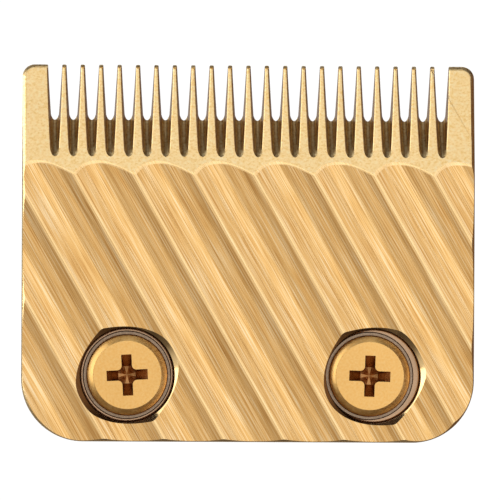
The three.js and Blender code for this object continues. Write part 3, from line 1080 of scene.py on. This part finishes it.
    def hole_tool(self, x: float) -> bpy.types.Object:
        """Makes the stepped hole of one blade screw, with its broken rim and round inner corner.

        Args:
            x: X of the hole.

        Returns:
            The closed tool.
        """
        rim, far = self.rim_foot, self.low.y - OVERCUT
        radius, corner = self.counterbore_radius, self.corner_radius
        return add_turned("hole_tool", (x, 0), [
            (radius + (rim - far) / math.tan(self.rim_angle), far),
            (radius, rim),
            *(
                (radius - corner * (1 - cosine), self.web_front - corner * (1 - sine))
                for cosine, sine in quarter(self.corner_steps)
            ),
            (self.hole_radius, self.web_front), (self.hole_radius, self.high.y + OVERCUT),
        ], LARGE_ROUND)

    def hollow_tool(self) -> bpy.types.Object:
        """Makes the block that hollows the rear between the two lands.

        Returns:
            The block.
        """
        bottom, top, depth = self.hollow
        low = (self.low.x - OVERCUT, self.high.y - depth, bottom)
        high = (self.high.x + OVERCUT, self.high.y + OVERCUT, top)
        return add_box("hollow_tool", low, high)

    def break_face_edges(self, obj: bpy.types.Object) -> None:
        """Breaks the tooth face's edges along the gaps.

        Args:
            obj: The blade, with its gaps cut.
        """
        slope, width, drop = self.slope, self.gap_edge_break, self.gap_edge_drop
        lowest, highest = self.gap_floor - width, self.high.z - width

        def is_tooth_face(face: bmesh.types.BMFace) -> bool:
            """Tells whether a face is part of the sloping tooth face."""
            return face.normal.dot(slope) > SAME_WAY

        with editing(obj):
            pick(obj, Element.FACE, is_tooth_face)
            bpy.ops.mesh.inset(thickness=width, use_even_offset=True)
            mesh = bmesh.from_edit_mesh(obj.data)
            for vertex in mesh.verts:
                if vertex.select or vertex.co.z < lowest or abs(vertex.co.x) > self.gap_span:
                    continue
                if any(is_tooth_face(face) for face in vertex.link_faces):
                    vertex.co -= slope * drop
                    if vertex.co.z > highest:
                        vertex.co.z -= drop
            bmesh.update_edit_mesh(obj.data)

    def is_burnished_and_highlit(self, point: Vector) -> bool:
        """Tells whether a point of the front lies on a crest or on the round above a flute.

        Args:
            point: A point of the fluted front.

        Returns:
            True on the crests and rounds that get the paler burnished finish, partly painted highlight.
        """
        sine, cosine = math.sin(self.along_turn), math.cos(self.along_turn)
        across = point.x * sine + point.z * cosine
        along = point.x * cosine - point.z * sine
        middle = (self.front_point(across, 1).x + self.front_point(across, self.arc_rows).x) / 2
        on_round = abs(along - middle) < self.arc_reach + TOUCH
        on_crest = self.from_ridge(across) < self.crest_half_width * self.crest_polish_and_highlight
        return on_round or (along > middle and on_crest)

    def is_rim(self, centre: Vector, normal: Vector) -> bool:
        """Tells whether a face is part of a counterbore's broken rim.

        Args:
            centre: Middle of the face.
            normal: Way that it faces.

        Returns:
            True on the cones round the two counterbores.
        """
        from_wall = self.from_hole(centre) - self.counterbore_radius
        on_cone = abs(normal.y + math.cos(self.rim_angle)) < self.cone_slack
        return on_cone and -TOUCH < from_wall < self.rim_reach and centre.y < self.rim_foot

    def mark_rims(self, obj: bpy.types.Object) -> None:
        """Marks the edges of the counterbores' broken rims sharp.

        Args:
            obj: The blade.
        """

        def is_rim_edge(edge: bmesh.types.BMEdge) -> bool:
            """Tells whether just one of an edge's faces is part of a rim.

            Args:
                edge: The edge.

            Returns:
                True where the rim ends.
            """
            on_rim = [self.is_rim(face.calc_center_median(), face.normal) for face in edge.link_faces]
            return sum(on_rim) == 1

        with editing(obj):
            pick(obj, Element.EDGE, is_rim_edge)
            bpy.ops.mesh.mark_sharp()

    def finish_at(self, centre: Vector, normal: Vector) -> CombFinish:
        """Finds the finish of a face.

        Args:
            centre: Middle of the face.
            normal: Way that it faces.

        Returns:
            Its material slot.
        """
        to_slope = normal.dot(self.slope)
        in_counterbore = self.from_hole(centre) - self.counterbore_radius < TOUCH
        # Counterbore walls and floors take the darker wheel-cut finish, partly painted shade.
        if in_counterbore and self.rim_foot < centre.y < self.web_front + TOUCH:
            return CombFinish.WHEEL_CUT_AND_PAINTED_SHADE
        # The counterbores' broken rims take the paler burnished finish, partly painted highlight.
        if self.is_rim(centre, normal):
            return CombFinish.BURNISHED_AND_HIGHLIGHT
        # Crests and the rounds above the flutes take the paler burnished finish, partly painted highlight.
        below_slope = centre.z < self.high.z - self.flutes_from and to_slope < NEARLY
        if normal.y < -SQUARELY and below_slope:
            return CombFinish.BURNISHED_AND_HIGHLIGHT if self.is_burnished_and_highlit(centre) else CombFinish.FLUTED
        in_gaps = centre.z > self.gap_floor and abs(centre.x) < self.gap_span
        is_wall = to_slope < BROADLY and normal.y < SQUARELY and normal.z < self.wall_limit
        # Gap walls take the darker wheel-cut finish, partly painted shade.
        return CombFinish.WHEEL_CUT_AND_PAINTED_SHADE if in_gaps and is_wall else CombFinish.LAPPED

    def paint(self, obj: bpy.types.Object) -> None:
        """Gives the flutes, crests, tooth face, gaps and counterbores their own finishes, partly painted
        highlight and shade.

        Args:
            obj: The blade.
        """
        dress(obj, LAPPED_NITRIDE, FLUTED_NITRIDE, WHEEL_CUT_AND_PAINTED_SHADE_NITRIDE, BURNISHED_AND_HIGHLIGHT_NITRIDE)
        for polygon in obj.data.polygons:
            polygon.material_index = self.finish_at(polygon.center, polygon.normal)

    def build(self) -> None:
        """Builds, dresses and hands over the comb blade."""
        obj = self.blank()
        cut(obj, self.front_tool())
        cut(obj, self.gap_tools(), self.tip_tools())
        cut(obj, *(self.hole_tool(x) for x in self.hole_x), self.hollow_tool())
        self.break_face_edges(obj)
        self.paint(obj)
        self.mark_rims(obj)
        smooth(obj, keep_marks=True)
        hand_over(obj, "comb_blade", Body.COMB)


# ------------------------------------------------------------------ blade screws


@dataclass
class BladeScrews:
    """The two cross-recess screws and their washers.

    Lengths are in millimetres. The edge is the head's rounded shoulder, as distance out and back
    from the rim of its flat. The recess point is the scale and depth of the cross's last step.
    """

    recess_span: float = 4.18
    recess_arm: float = 1.05
    recess_fillet: float = 0.45
    fillet_steps: int = 6
    recess_depth: float = 1.7
    recess_taper: float = 0.42
    recess_lead: float = 0.2
    recess_point: tuple[float, float] = (0.1, 0.2)
    head_radius: float = 4.15
    flat_radius: float = 3.42
    edge: Stations = ((0.0, 0.0), (0.03, 0.005), (0.07, 0.025), (0.6, 0.31), (0.69, 0.42), (0.73, 0.7))
    head_chamfer: float = 0.08
    shank_radius: float = 1.95
    shank_chamfer: float = 0.4
    head_height: float = 1.35
    washer_bore: float = 2.15
    washer_chamfer: float = 0.1
    turns: tuple[tuple[Side, float], ...] = ((Side.LEFT, 2.9), (Side.RIGHT, -1.5))

    def recess_outline(self) -> list[tuple[float, float]]:
        """Finds the outline of the cross recess, with its round inner corners.

        Returns:
            X and Z of each corner, going round once.
        """
        reach, arm, fillet = self.recess_span / 2, self.recess_arm / 2, self.recess_fillet
        middle = arm + fillet
        arm_outline = [(reach, -arm), (reach, arm)]
        for cosine, sine in quarter(self.fillet_steps):
            arm_outline.append((middle - fillet * sine, middle - fillet * cosine))
        outline = []
        for _ in range(4):
            outline += arm_outline
            arm_outline = [(-z, x) for x, z in arm_outline]
        return outline

    def recess_tool(self, x: float, front: float, turn: float) -> bpy.types.Object:
        """Makes the tapered cross of the driver recess.

        Args:
            x: X of the screw's axis.
            front: Y of the head's flat.
            turn: Turn of the cross in degrees, anticlockwise from the front.

        Returns:
            The closed tool.
        """
        lead, bottom = self.recess_lead, front + self.recess_depth
        swell = 1 + (1 - self.recess_taper) * lead / self.recess_depth
        point_ratio, point_depth = self.recess_point
        obj = add_outline("recess_tool", [
            (across * swell, front - lead, up * swell) for across, up in self.recess_outline()
        ])
        with editing(obj):
            extrude(lead + self.recess_depth)
            scale_across(self.recess_taper / swell, (0, bottom, 0))
            extrude(point_depth)
            scale_across(point_ratio, (0, bottom + point_depth, 0))
        obj.location.x = x
        obj.rotation_euler = (0, -math.radians(turn), 0)
        return outward(freeze(obj))

    def screw(self, side: Side, turn: float) -> None:
        """Builds one screw.

        Args:
            side: Side that it is on.
            turn: Turn of its cross in degrees, anticlockwise from the front.
        """
        node = f"blade_screw_{side.value}"
        low, high = node_box(node)
        x = (low.x + high.x) / 2
        front, under = low.y, low.y + self.head_height
        head, shank = self.head_chamfer, self.shank_chamfer
        stations = [
            *((self.flat_radius + out, front + back) for out, back in self.edge),
            (self.head_radius, under - head), (self.head_radius - head, under),
            (self.shank_radius, under),
            (self.shank_radius, high.y - shank), (self.shank_radius - shank, high.y),
        ]
        obj = add_turned(node, (x, 0), stations, LARGE_ROUND)
        cut(obj, self.recess_tool(x, front, turn))
        dress(obj, SCREW_NITRIDE, RECESS_PAINTED_SHADE_NITRIDE)
        reach = self.recess_span / 2 + TOUCH
        deepest = front + self.recess_depth + self.recess_point[1] + TOUCH
        # Faces inside the cross recess take the darker recess finish, painted shade.
        for polygon in obj.data.polygons:
            centre = polygon.center
            inside = math.hypot(centre.x - x, centre.z) < reach and front + TOUCH < centre.y < deepest
            polygon.material_index = 1 if inside else 0
        smooth(obj)
        hand_over(obj, node, Body.COMB)

    def washer(self, side: Side) -> None:
        """Builds one washer.

        Args:
            side: Side that it is on.
        """
        node = f"screw_washer_{side.value}"
        low, high = node_box(node)
        centre = ((low.x + high.x) / 2, 0)
        radius, soft = (high.x - low.x) / 2, self.washer_chamfer
        inner = radius - soft
        obj = add_turned(node, centre, [
            (inner, low.y), (radius, low.y + soft), (radius, high.y - soft), (inner, high.y),
        ], LARGE_ROUND)
        cut(obj, add_turned("bore_tool", centre, [
            (self.washer_bore, low.y - OVERCUT), (self.washer_bore, high.y + OVERCUT),
        ], MEDIUM_ROUND))
        dress(obj, NICKEL_PLATE)
        smooth(obj)
        hand_over(obj, node, Body.COMB)

    def build(self) -> None:
        """Builds both screws and both washers."""
        for side, turn in self.turns:
            self.screw(side, turn)
            self.washer(side)


# ------------------------------------------------------------------ parts behind the comb


@dataclass(frozen=True)
class FinePart:
    """A part that keeps its CAD shape and gains the broken edges that make it look made.

    Args:
        node: CAD node of the part.
        finish: Its finish.
        slot: Name of the part's material slot; not used.
        edge: Width of its edge breaks in millimetres, or 0 for none.
        steps: Segments across an edge break.
        sharp: Smallest angle in degrees that gets an edge break.
        flat_within: Degrees between triangles that belong to one flat face.
    """

    node: str
    finish: Finish
    slot: str
    edge: float
    steps: int = 2
    sharp: float = 40.0
    flat_within: float = 0.2

    def shape(self) -> bpy.types.Object:
        """Copies the CAD mesh in millimetres, with its triangles joined into whole faces.

        Returns:
            The copy.
        """
        source = bpy.data.objects[self.node]
        obj = bpy.data.objects.new(f"{self.node}_copy", source.data.copy())
        bpy.context.scene.collection.objects.link(obj)
        obj.matrix_world = Matrix.Scale(1 / MM, 4) @ source.matrix_world
        freeze(obj)
        with editing(obj):
            bpy.ops.mesh.customdata_custom_splitnormals_clear()
            bpy.ops.mesh.remove_doubles(threshold=FRAME_MERGE)
            bpy.ops.mesh.dissolve_limited(angle_limit=math.radians(self.flat_within))
        return outward(obj)

    def build(self, body: Body) -> None:
        """Builds, dresses and hands over the part.

        Args:
            body: Body that it rides on.
        """
        obj = self.shape()
        if self.edge > 0:
            break_edges(obj, self.edge, self.steps, self.sharp)
        dress(obj, self.finish)
        smooth(obj)
        hand_over(obj, self.node, body)


@dataclass
class TensionSpring:
    """The wire spring, with two coils on the pin and two arms that press the guide.

    Lengths are in millimetres. The axis is the coils' Y and Z, and the foot is the Y of an arm's
    end, the Z of its last bend and the Z of its tip.
    """

    wire_radius: float = 0.4
    coil_radius: float = 1.8
    turns: float = 3.0
    pitch: float = 1.05
    inner_x: float = 2.2
    axis: tuple[float, float] = (-5.35, 4.0)
    bridge_drop: float = 3.2
    bridge_corner: float = 1.0
    arm_top: float = 11.6
    foot: tuple[float, float, float] = (-5.2, 15.4, 17.2)
    foot_inset: float = 0.6
    bend_reach: float = 0.9
    bend_steps: int = 8
    arm_shares: tuple[float, float] = (0.3, 0.6)
    points_per_turn: int = 48
    wire_sides: int = 20
    shading_angle: float = 50.0

    def half(self) -> list[Point]:
        """Finds the right half of the wire's centre line, from the bridge to the foot.

        Returns:
            Points along the line.
        """
        y, z = self.axis
        near = y + self.coil_radius
        low = z - self.bridge_drop
        points = [(0.0, near, low), (self.inner_x - self.bridge_corner, near, low)]
        for cosine, sine in quarter(self.bend_steps)[1:]:
            across, up = self.bridge_corner * (1 - sine), self.bridge_corner * (1 - cosine)
            points.append((self.inner_x - across, near, low + up))
        count = round(self.turns * self.points_per_turn)
        for step in range(count + 1):
            turn = step / self.points_per_turn
            angle = 2 * math.pi * turn
            points.append((
                self.inner_x + turn * self.pitch,
                y + self.coil_radius * math.cos(angle), z + self.coil_radius * math.sin(angle),
            ))
        outer = self.inner_x + self.turns * self.pitch
        foot_y, foot_z, tip_z = self.foot
        bend = Vector((outer - self.foot_inset / 2, foot_y, foot_z))
        arm, tip = Vector((outer, near, self.arm_top)), Vector((outer - self.foot_inset, foot_y, tip_z))
        start = Vector(points[-1])
        points += [tuple(start.lerp(arm, share)) for share in self.arm_shares]
        points += self.bend(start, arm, bend) + self.bend(arm, bend, tip)
        points.append(tuple(tip))
        return points

    def bend(self, before: Vector, corner: Vector, after: Vector) -> list[Point]:
        """Rounds a corner of the centre line.

        Args:
            before: Point before the corner.
            corner: The corner.
            after: Point after it.

        Returns:
            Points of the round.
        """
        back, on = before - corner, after - corner
        start = corner + back.normalized() * min(self.bend_reach, back.length / 2)
        end = corner + on.normalized() * min(self.bend_reach, on.length / 2)
        shares = [step / self.bend_steps for step in range(self.bend_steps + 1)]
        return [tuple(start.lerp(corner, t).lerp(corner.lerp(end, t), t)) for t in shares]

    def build(self) -> None:
        """Builds, dresses and hands over the spring."""
        right = self.half()
        path = [(-x, y, z) for x, y, z in reversed(right[1:])] + right
        curve = bpy.data.curves.new("spring_wire", "CURVE")
        curve.dimensions = "3D"
        curve.bevel_depth = self.wire_radius
        curve.bevel_resolution = (self.wire_sides - 4) // 2
        curve.use_fill_caps = True
        line = curve.splines.new("POLY")
        line.points.add(len(path) - 1)
        for point, place in zip(line.points, path):
            point.co = (*place, 1)
        obj = bpy.data.objects.new("spring_wire", curve)
        bpy.context.scene.collection.objects.link(obj)
        activate(obj)
        bpy.ops.object.convert(target="MESH")
        obj = outward(bpy.context.object)
        dress(obj, SPRING_WIRE)
        smooth(obj, self.shading_angle)
        hand_over(obj, "tension_spring", Body.FRAME)


@dataclass
class CombCarriage:
    """Everything else that slides with the comb blade, with its edge breaks in millimetres."""

    bracket_edge: float = 0.12
    pin_edge: float = 0.15
    rail_edge: float = 0.05
    screw_edge: float = 0.06

    def build(self) -> None:
        """Builds the bracket, the rails and their screws, and the taper pin."""
        FinePart("blade_bracket", ZINC_PLATE, "zinc_plated_bracket", self.bracket_edge).build(Body.COMB)
        FinePart("taper_pin", GROUND_STEEL, "ground_steel", self.pin_edge).build(Body.COMB)
        for side in Side:
            rail = f"slide_rail_{side.value}"
            FinePart(rail, GROUND_STEEL, "ground_steel", self.rail_edge).build(Body.COMB)
            for level in Level:
                screw = f"rail_screw_{side.value}_{level.value}"
                FinePart(screw, ZINC_PLATE, "zinc_plated_screw", self.screw_edge).build(Body.COMB)


@dataclass
class CutterSet:
    """The moving blade, its moulded drive guide and the pegs that join them."""

    blade_edge: float = 0.05
    blade_sharp: float = 50.0
    guide_edge: float = 0.18
    guide_steps: int = 3
    peg_edge: float = 0.1

    def build(self) -> None:
        """Builds the cutter, the guide and the pegs."""
        FinePart(
            "cutter_blade", LAPPED_CUTTER, "cutter_steel", self.blade_edge, sharp=self.blade_sharp
        ).build(Body.CUTTER)
        FinePart(
            "drive_guide", MOULDED_NYLON, "nylon_guide", self.guide_edge, self.guide_steps
        ).build(Body.CUTTER)
        for side in Side:
            peg = f"guide_peg_{side.value}"
            FinePart(peg, GROUND_STEEL, "ground_steel", self.peg_edge).build(Body.CUTTER)


@dataclass
class MountingGroup:
    """The cast frame and all that is fixed to it, with the edge breaks in millimetres."""

    frame_edge: float = 0.16
    frame_steps: int = 3
    pin_edge: float = 0.12
    gib_edge: float = 0.0
    small_edge: float = 0.06

    def build(self) -> None:
        """Builds the frame, the gibs and their screws, the spring, its pin and its clips."""
        FinePart(
            "mounting_frame", CAST_ALLOY, "cast_alloy_frame", self.frame_edge, self.frame_steps
        ).build(Body.FRAME)
        FinePart("spring_pin", GROUND_STEEL, "ground_steel", self.pin_edge).build(Body.FRAME)
        for side in Side:
            gib, clip = f"gib_strip_{side.value}", f"pin_clip_{side.value}"
            FinePart(gib, GROUND_STEEL, "ground_steel", self.gib_edge).build(Body.FRAME)
            FinePart(clip, SPRING_WIRE, "spring_steel", self.small_edge).build(Body.FRAME)
            for level in Level:
                screw = f"gib_screw_{side.value}_{level.value}"
                FinePart(screw, ZINC_PLATE, "zinc_plated_screw", self.small_edge).build(Body.FRAME)
        TensionSpring().build()


# ------------------------------------------------------------------ studio


# Degrees, anticlockwise from the right, of the way square to the flutes.
ACROSS_FLUTES = 29.8


@dataclass(frozen=True)
class SoftBox:
    """A rectangular soft light that faces the blade head.

    Args:
        name: Name of the light.
        tilt: Degrees from the front of the head to the middle of the light.
        clock: Way of that tilt as seen from the front, in degrees anticlockwise from the right.
        spread: Degrees that the light covers along its tilt and across it.
        radiance: Brightness of its face, where 1 shows as white in a mirror.
        tint: Colour of its light.
        distance: Metres from the head.
    """

    name: str
    tilt: float
    clock: float
    spread: tuple[float, float]
    radiance: float
    tint: str = "#ffffff"
    distance: float = 0.9

    def build(self, target: Vector) -> None:
        """Adds the light.

        Args:
            target: Point that it faces.
        """
        light = bpy.data.lights.new(self.name, "AREA")
        light.shape = "RECTANGLE"
        light.size, light.size_y = (
            2 * self.distance * math.tan(math.radians(degrees / 2)) for degrees in self.spread
        )
        light.energy = self.radiance * math.pi * light.size * light.size_y
        light.color = linear(self.tint)[:3]
        lamp = bpy.data.objects.new(self.name, light)
        bpy.context.scene.collection.objects.link(lamp)
        tilt, clock = math.radians(self.tilt), math.radians(self.clock)
        way = Vector((math.cos(clock), 0, math.sin(clock)))
        front = Vector((0, -1, 0))
        away = front * math.cos(tilt) + way * math.sin(tilt)
        along = way * math.cos(tilt) - front * math.sin(tilt)
        axes = Matrix((along, away.cross(along), away)).transposed().to_4x4()
        lamp.matrix_world = Matrix.Translation(target + away * self.distance) @ axes
        lamp.visible_camera = False


@dataclass
class Studio:
    """Camera, pale floor, surroundings and soft lights.

    Lengths are in metres. The room that the metal reflects is given by its shades from left to
    right and from low to high, the two multiplied.
    """

    distance: float = 0.8
    view_width: float = 0.05085
    azimuth: float = -1.8
    roll: float = 0.3
    aim: Point = (0.0002, -0.0127, 0.01276)
    clip: tuple[float, float] = (0.05, 20.0)
    floor_drop: float = 0.4
    floor_size: float = 8.0
    floor_tone: str = "#e9e7e3"
    floor_roughness: float = 0.9
    tent_strength: float = 1.05
    room_across: Sequence[tuple[float, str]] = (
        (0.0, "#fffaf4"), (0.12, "#7d756d"), (0.26, "#7d756d"), (0.32, "#b8b0a8"),
        (0.52, "#b0a8a0"), (0.64, "#7d6a5c"), (0.9, "#6e5444"),
    )
    room_upward: Sequence[tuple[float, str]] = (
        (0.0, "#57463a"), (0.3, "#ffffff"), (0.7, "#ffffff"), (0.9, "#4e4040"),
    )
    lights: tuple[SoftBox, ...] = (
        SoftBox("key", 9, ACROSS_FLUTES, (16, 90), 0.86),
        SoftBox("wide_key", 32, ACROSS_FLUTES, (29, 90), 0.86),
        SoftBox("near_fill", -3.5, ACROSS_FLUTES, (9, 80), 0.37, "#fff6ec"),
        SoftBox("fill", -13, ACROSS_FLUTES, (9.5, 80), 0.48, "#fff6ec"),
        SoftBox("low_fill", -30, ACROSS_FLUTES, (23, 80), 0.2, "#ffeedd"),
        SoftBox("high_left", 62, 160, (28, 60), 1.6),
        SoftBox("high_top", 62, 105, (14, 46), 0.35),
        SoftBox("left_wing", 100, 178, (40, 30), 2.5),
        SoftBox("rear_key", 130, 90, (60, 70), 1.0),
    )

    def camera(self) -> None:
        """Adds the camera, nearly square to the front and a little to the left."""
        data = bpy.data.cameras.new("camera")
        data.lens = data.sensor_width * self.distance / self.view_width
        data.clip_start, data.clip_end = self.clip
        camera = bpy.data.objects.new("camera", data)
        bpy.context.scene.collection.objects.link(camera)
        angle = math.radians(self.azimuth)
        back = Vector((math.sin(angle), -math.cos(angle), 0))
        turn = back.to_track_quat("Z", "Y").to_matrix().to_4x4()
        place = Matrix.Translation(Vector(self.aim) + back * self.distance)
        camera.matrix_world = place @ turn @ Matrix.Rotation(math.radians(self.roll), 4, "Z")
        bpy.context.scene.camera = camera

    def floor(self) -> None:
        """Adds a plain pale floor well below the head."""
        bpy.ops.mesh.primitive_plane_add(size=self.floor_size, location=(0, 0, -self.floor_drop))
        floor = freeze(bpy.context.object)
        floor.name = "studio_floor"
        material, _, shader = new_surface("pale_card")
        shader.inputs["Base Color"].default_value = linear(self.floor_tone)
        shader.inputs["Roughness"].default_value = self.floor_roughness
        floor.data.materials.append(material)
        floor.visible_glossy = False

    def surroundings(self) -> None:
        """Sets a white tent that lights the floor, and the dimmer room that the metal reflects."""
        world = bpy.data.worlds.new("studio")
        bpy.context.scene.world = world
        world.use_nodes = True
        tree = world.node_tree
        tree.nodes.clear()
        place = add_node(tree, "ShaderNodeTexCoord")
        axes = add_node(tree, "ShaderNodeSeparateXYZ", links={0: place.outputs["Generated"]})
        shades = []
        for axis, stops in (("X", self.room_across), ("Z", self.room_upward)):
            share = add_node(
                tree, "ShaderNodeMapRange", {"From Min": -1.0, "From Max": 1.0},
                {"Value": axes.outputs[axis]},
            )
            ramp = add_node(
                tree, "ShaderNodeValToRGB", {"stops": stops}, {"Fac": share.outputs["Result"]}
            )
            shades.append(ramp.outputs["Color"])
        room = add_node(tree, "ShaderNodeMix", MULTIPLY, {6: shades[0], 7: shades[1]})
        dim = add_node(tree, "ShaderNodeBackground", {"Strength": 1.0}, {"Color": room.outputs[2]})
        white = add_node(
            tree, "ShaderNodeBackground", {"Color": (1, 1, 1, 1), "Strength": self.tent_strength}
        )
        path = add_node(tree, "ShaderNodeLightPath")
        pale = add_node(
            tree, "ShaderNodeMath", {"operation": "MAXIMUM"},
            {0: path.outputs["Is Camera Ray"], 1: path.outputs["Is Diffuse Ray"]},
        )
        mixed = add_node(
            tree, "ShaderNodeMixShader", links={0: pale.outputs[0], 1: dim.outputs[0], 2: white.outputs[0]}
        )
        add_node(tree, "ShaderNodeOutputWorld", links={0: mixed.outputs[0]})

    def build(self) -> None:
        """Builds the camera, floor, surroundings and lights."""
        self.camera()
        self.floor()
        self.surroundings()
        bpy.context.scene.view_settings.view_transform = "Standard"
        for light in self.lights:
            light.build(Vector(self.aim))


def main() -> None:
    """Builds the studio and every sub-assembly, in order."""
    logging.basicConfig(level=logging.INFO, format="%(name)s: %(message)s")
    Studio().build()
    CombBlade().build()
    BladeScrews().build()
    CombCarriage().build()
    CutterSet().build()
    MountingGroup().build()


if __name__ == "__main__":
    main()
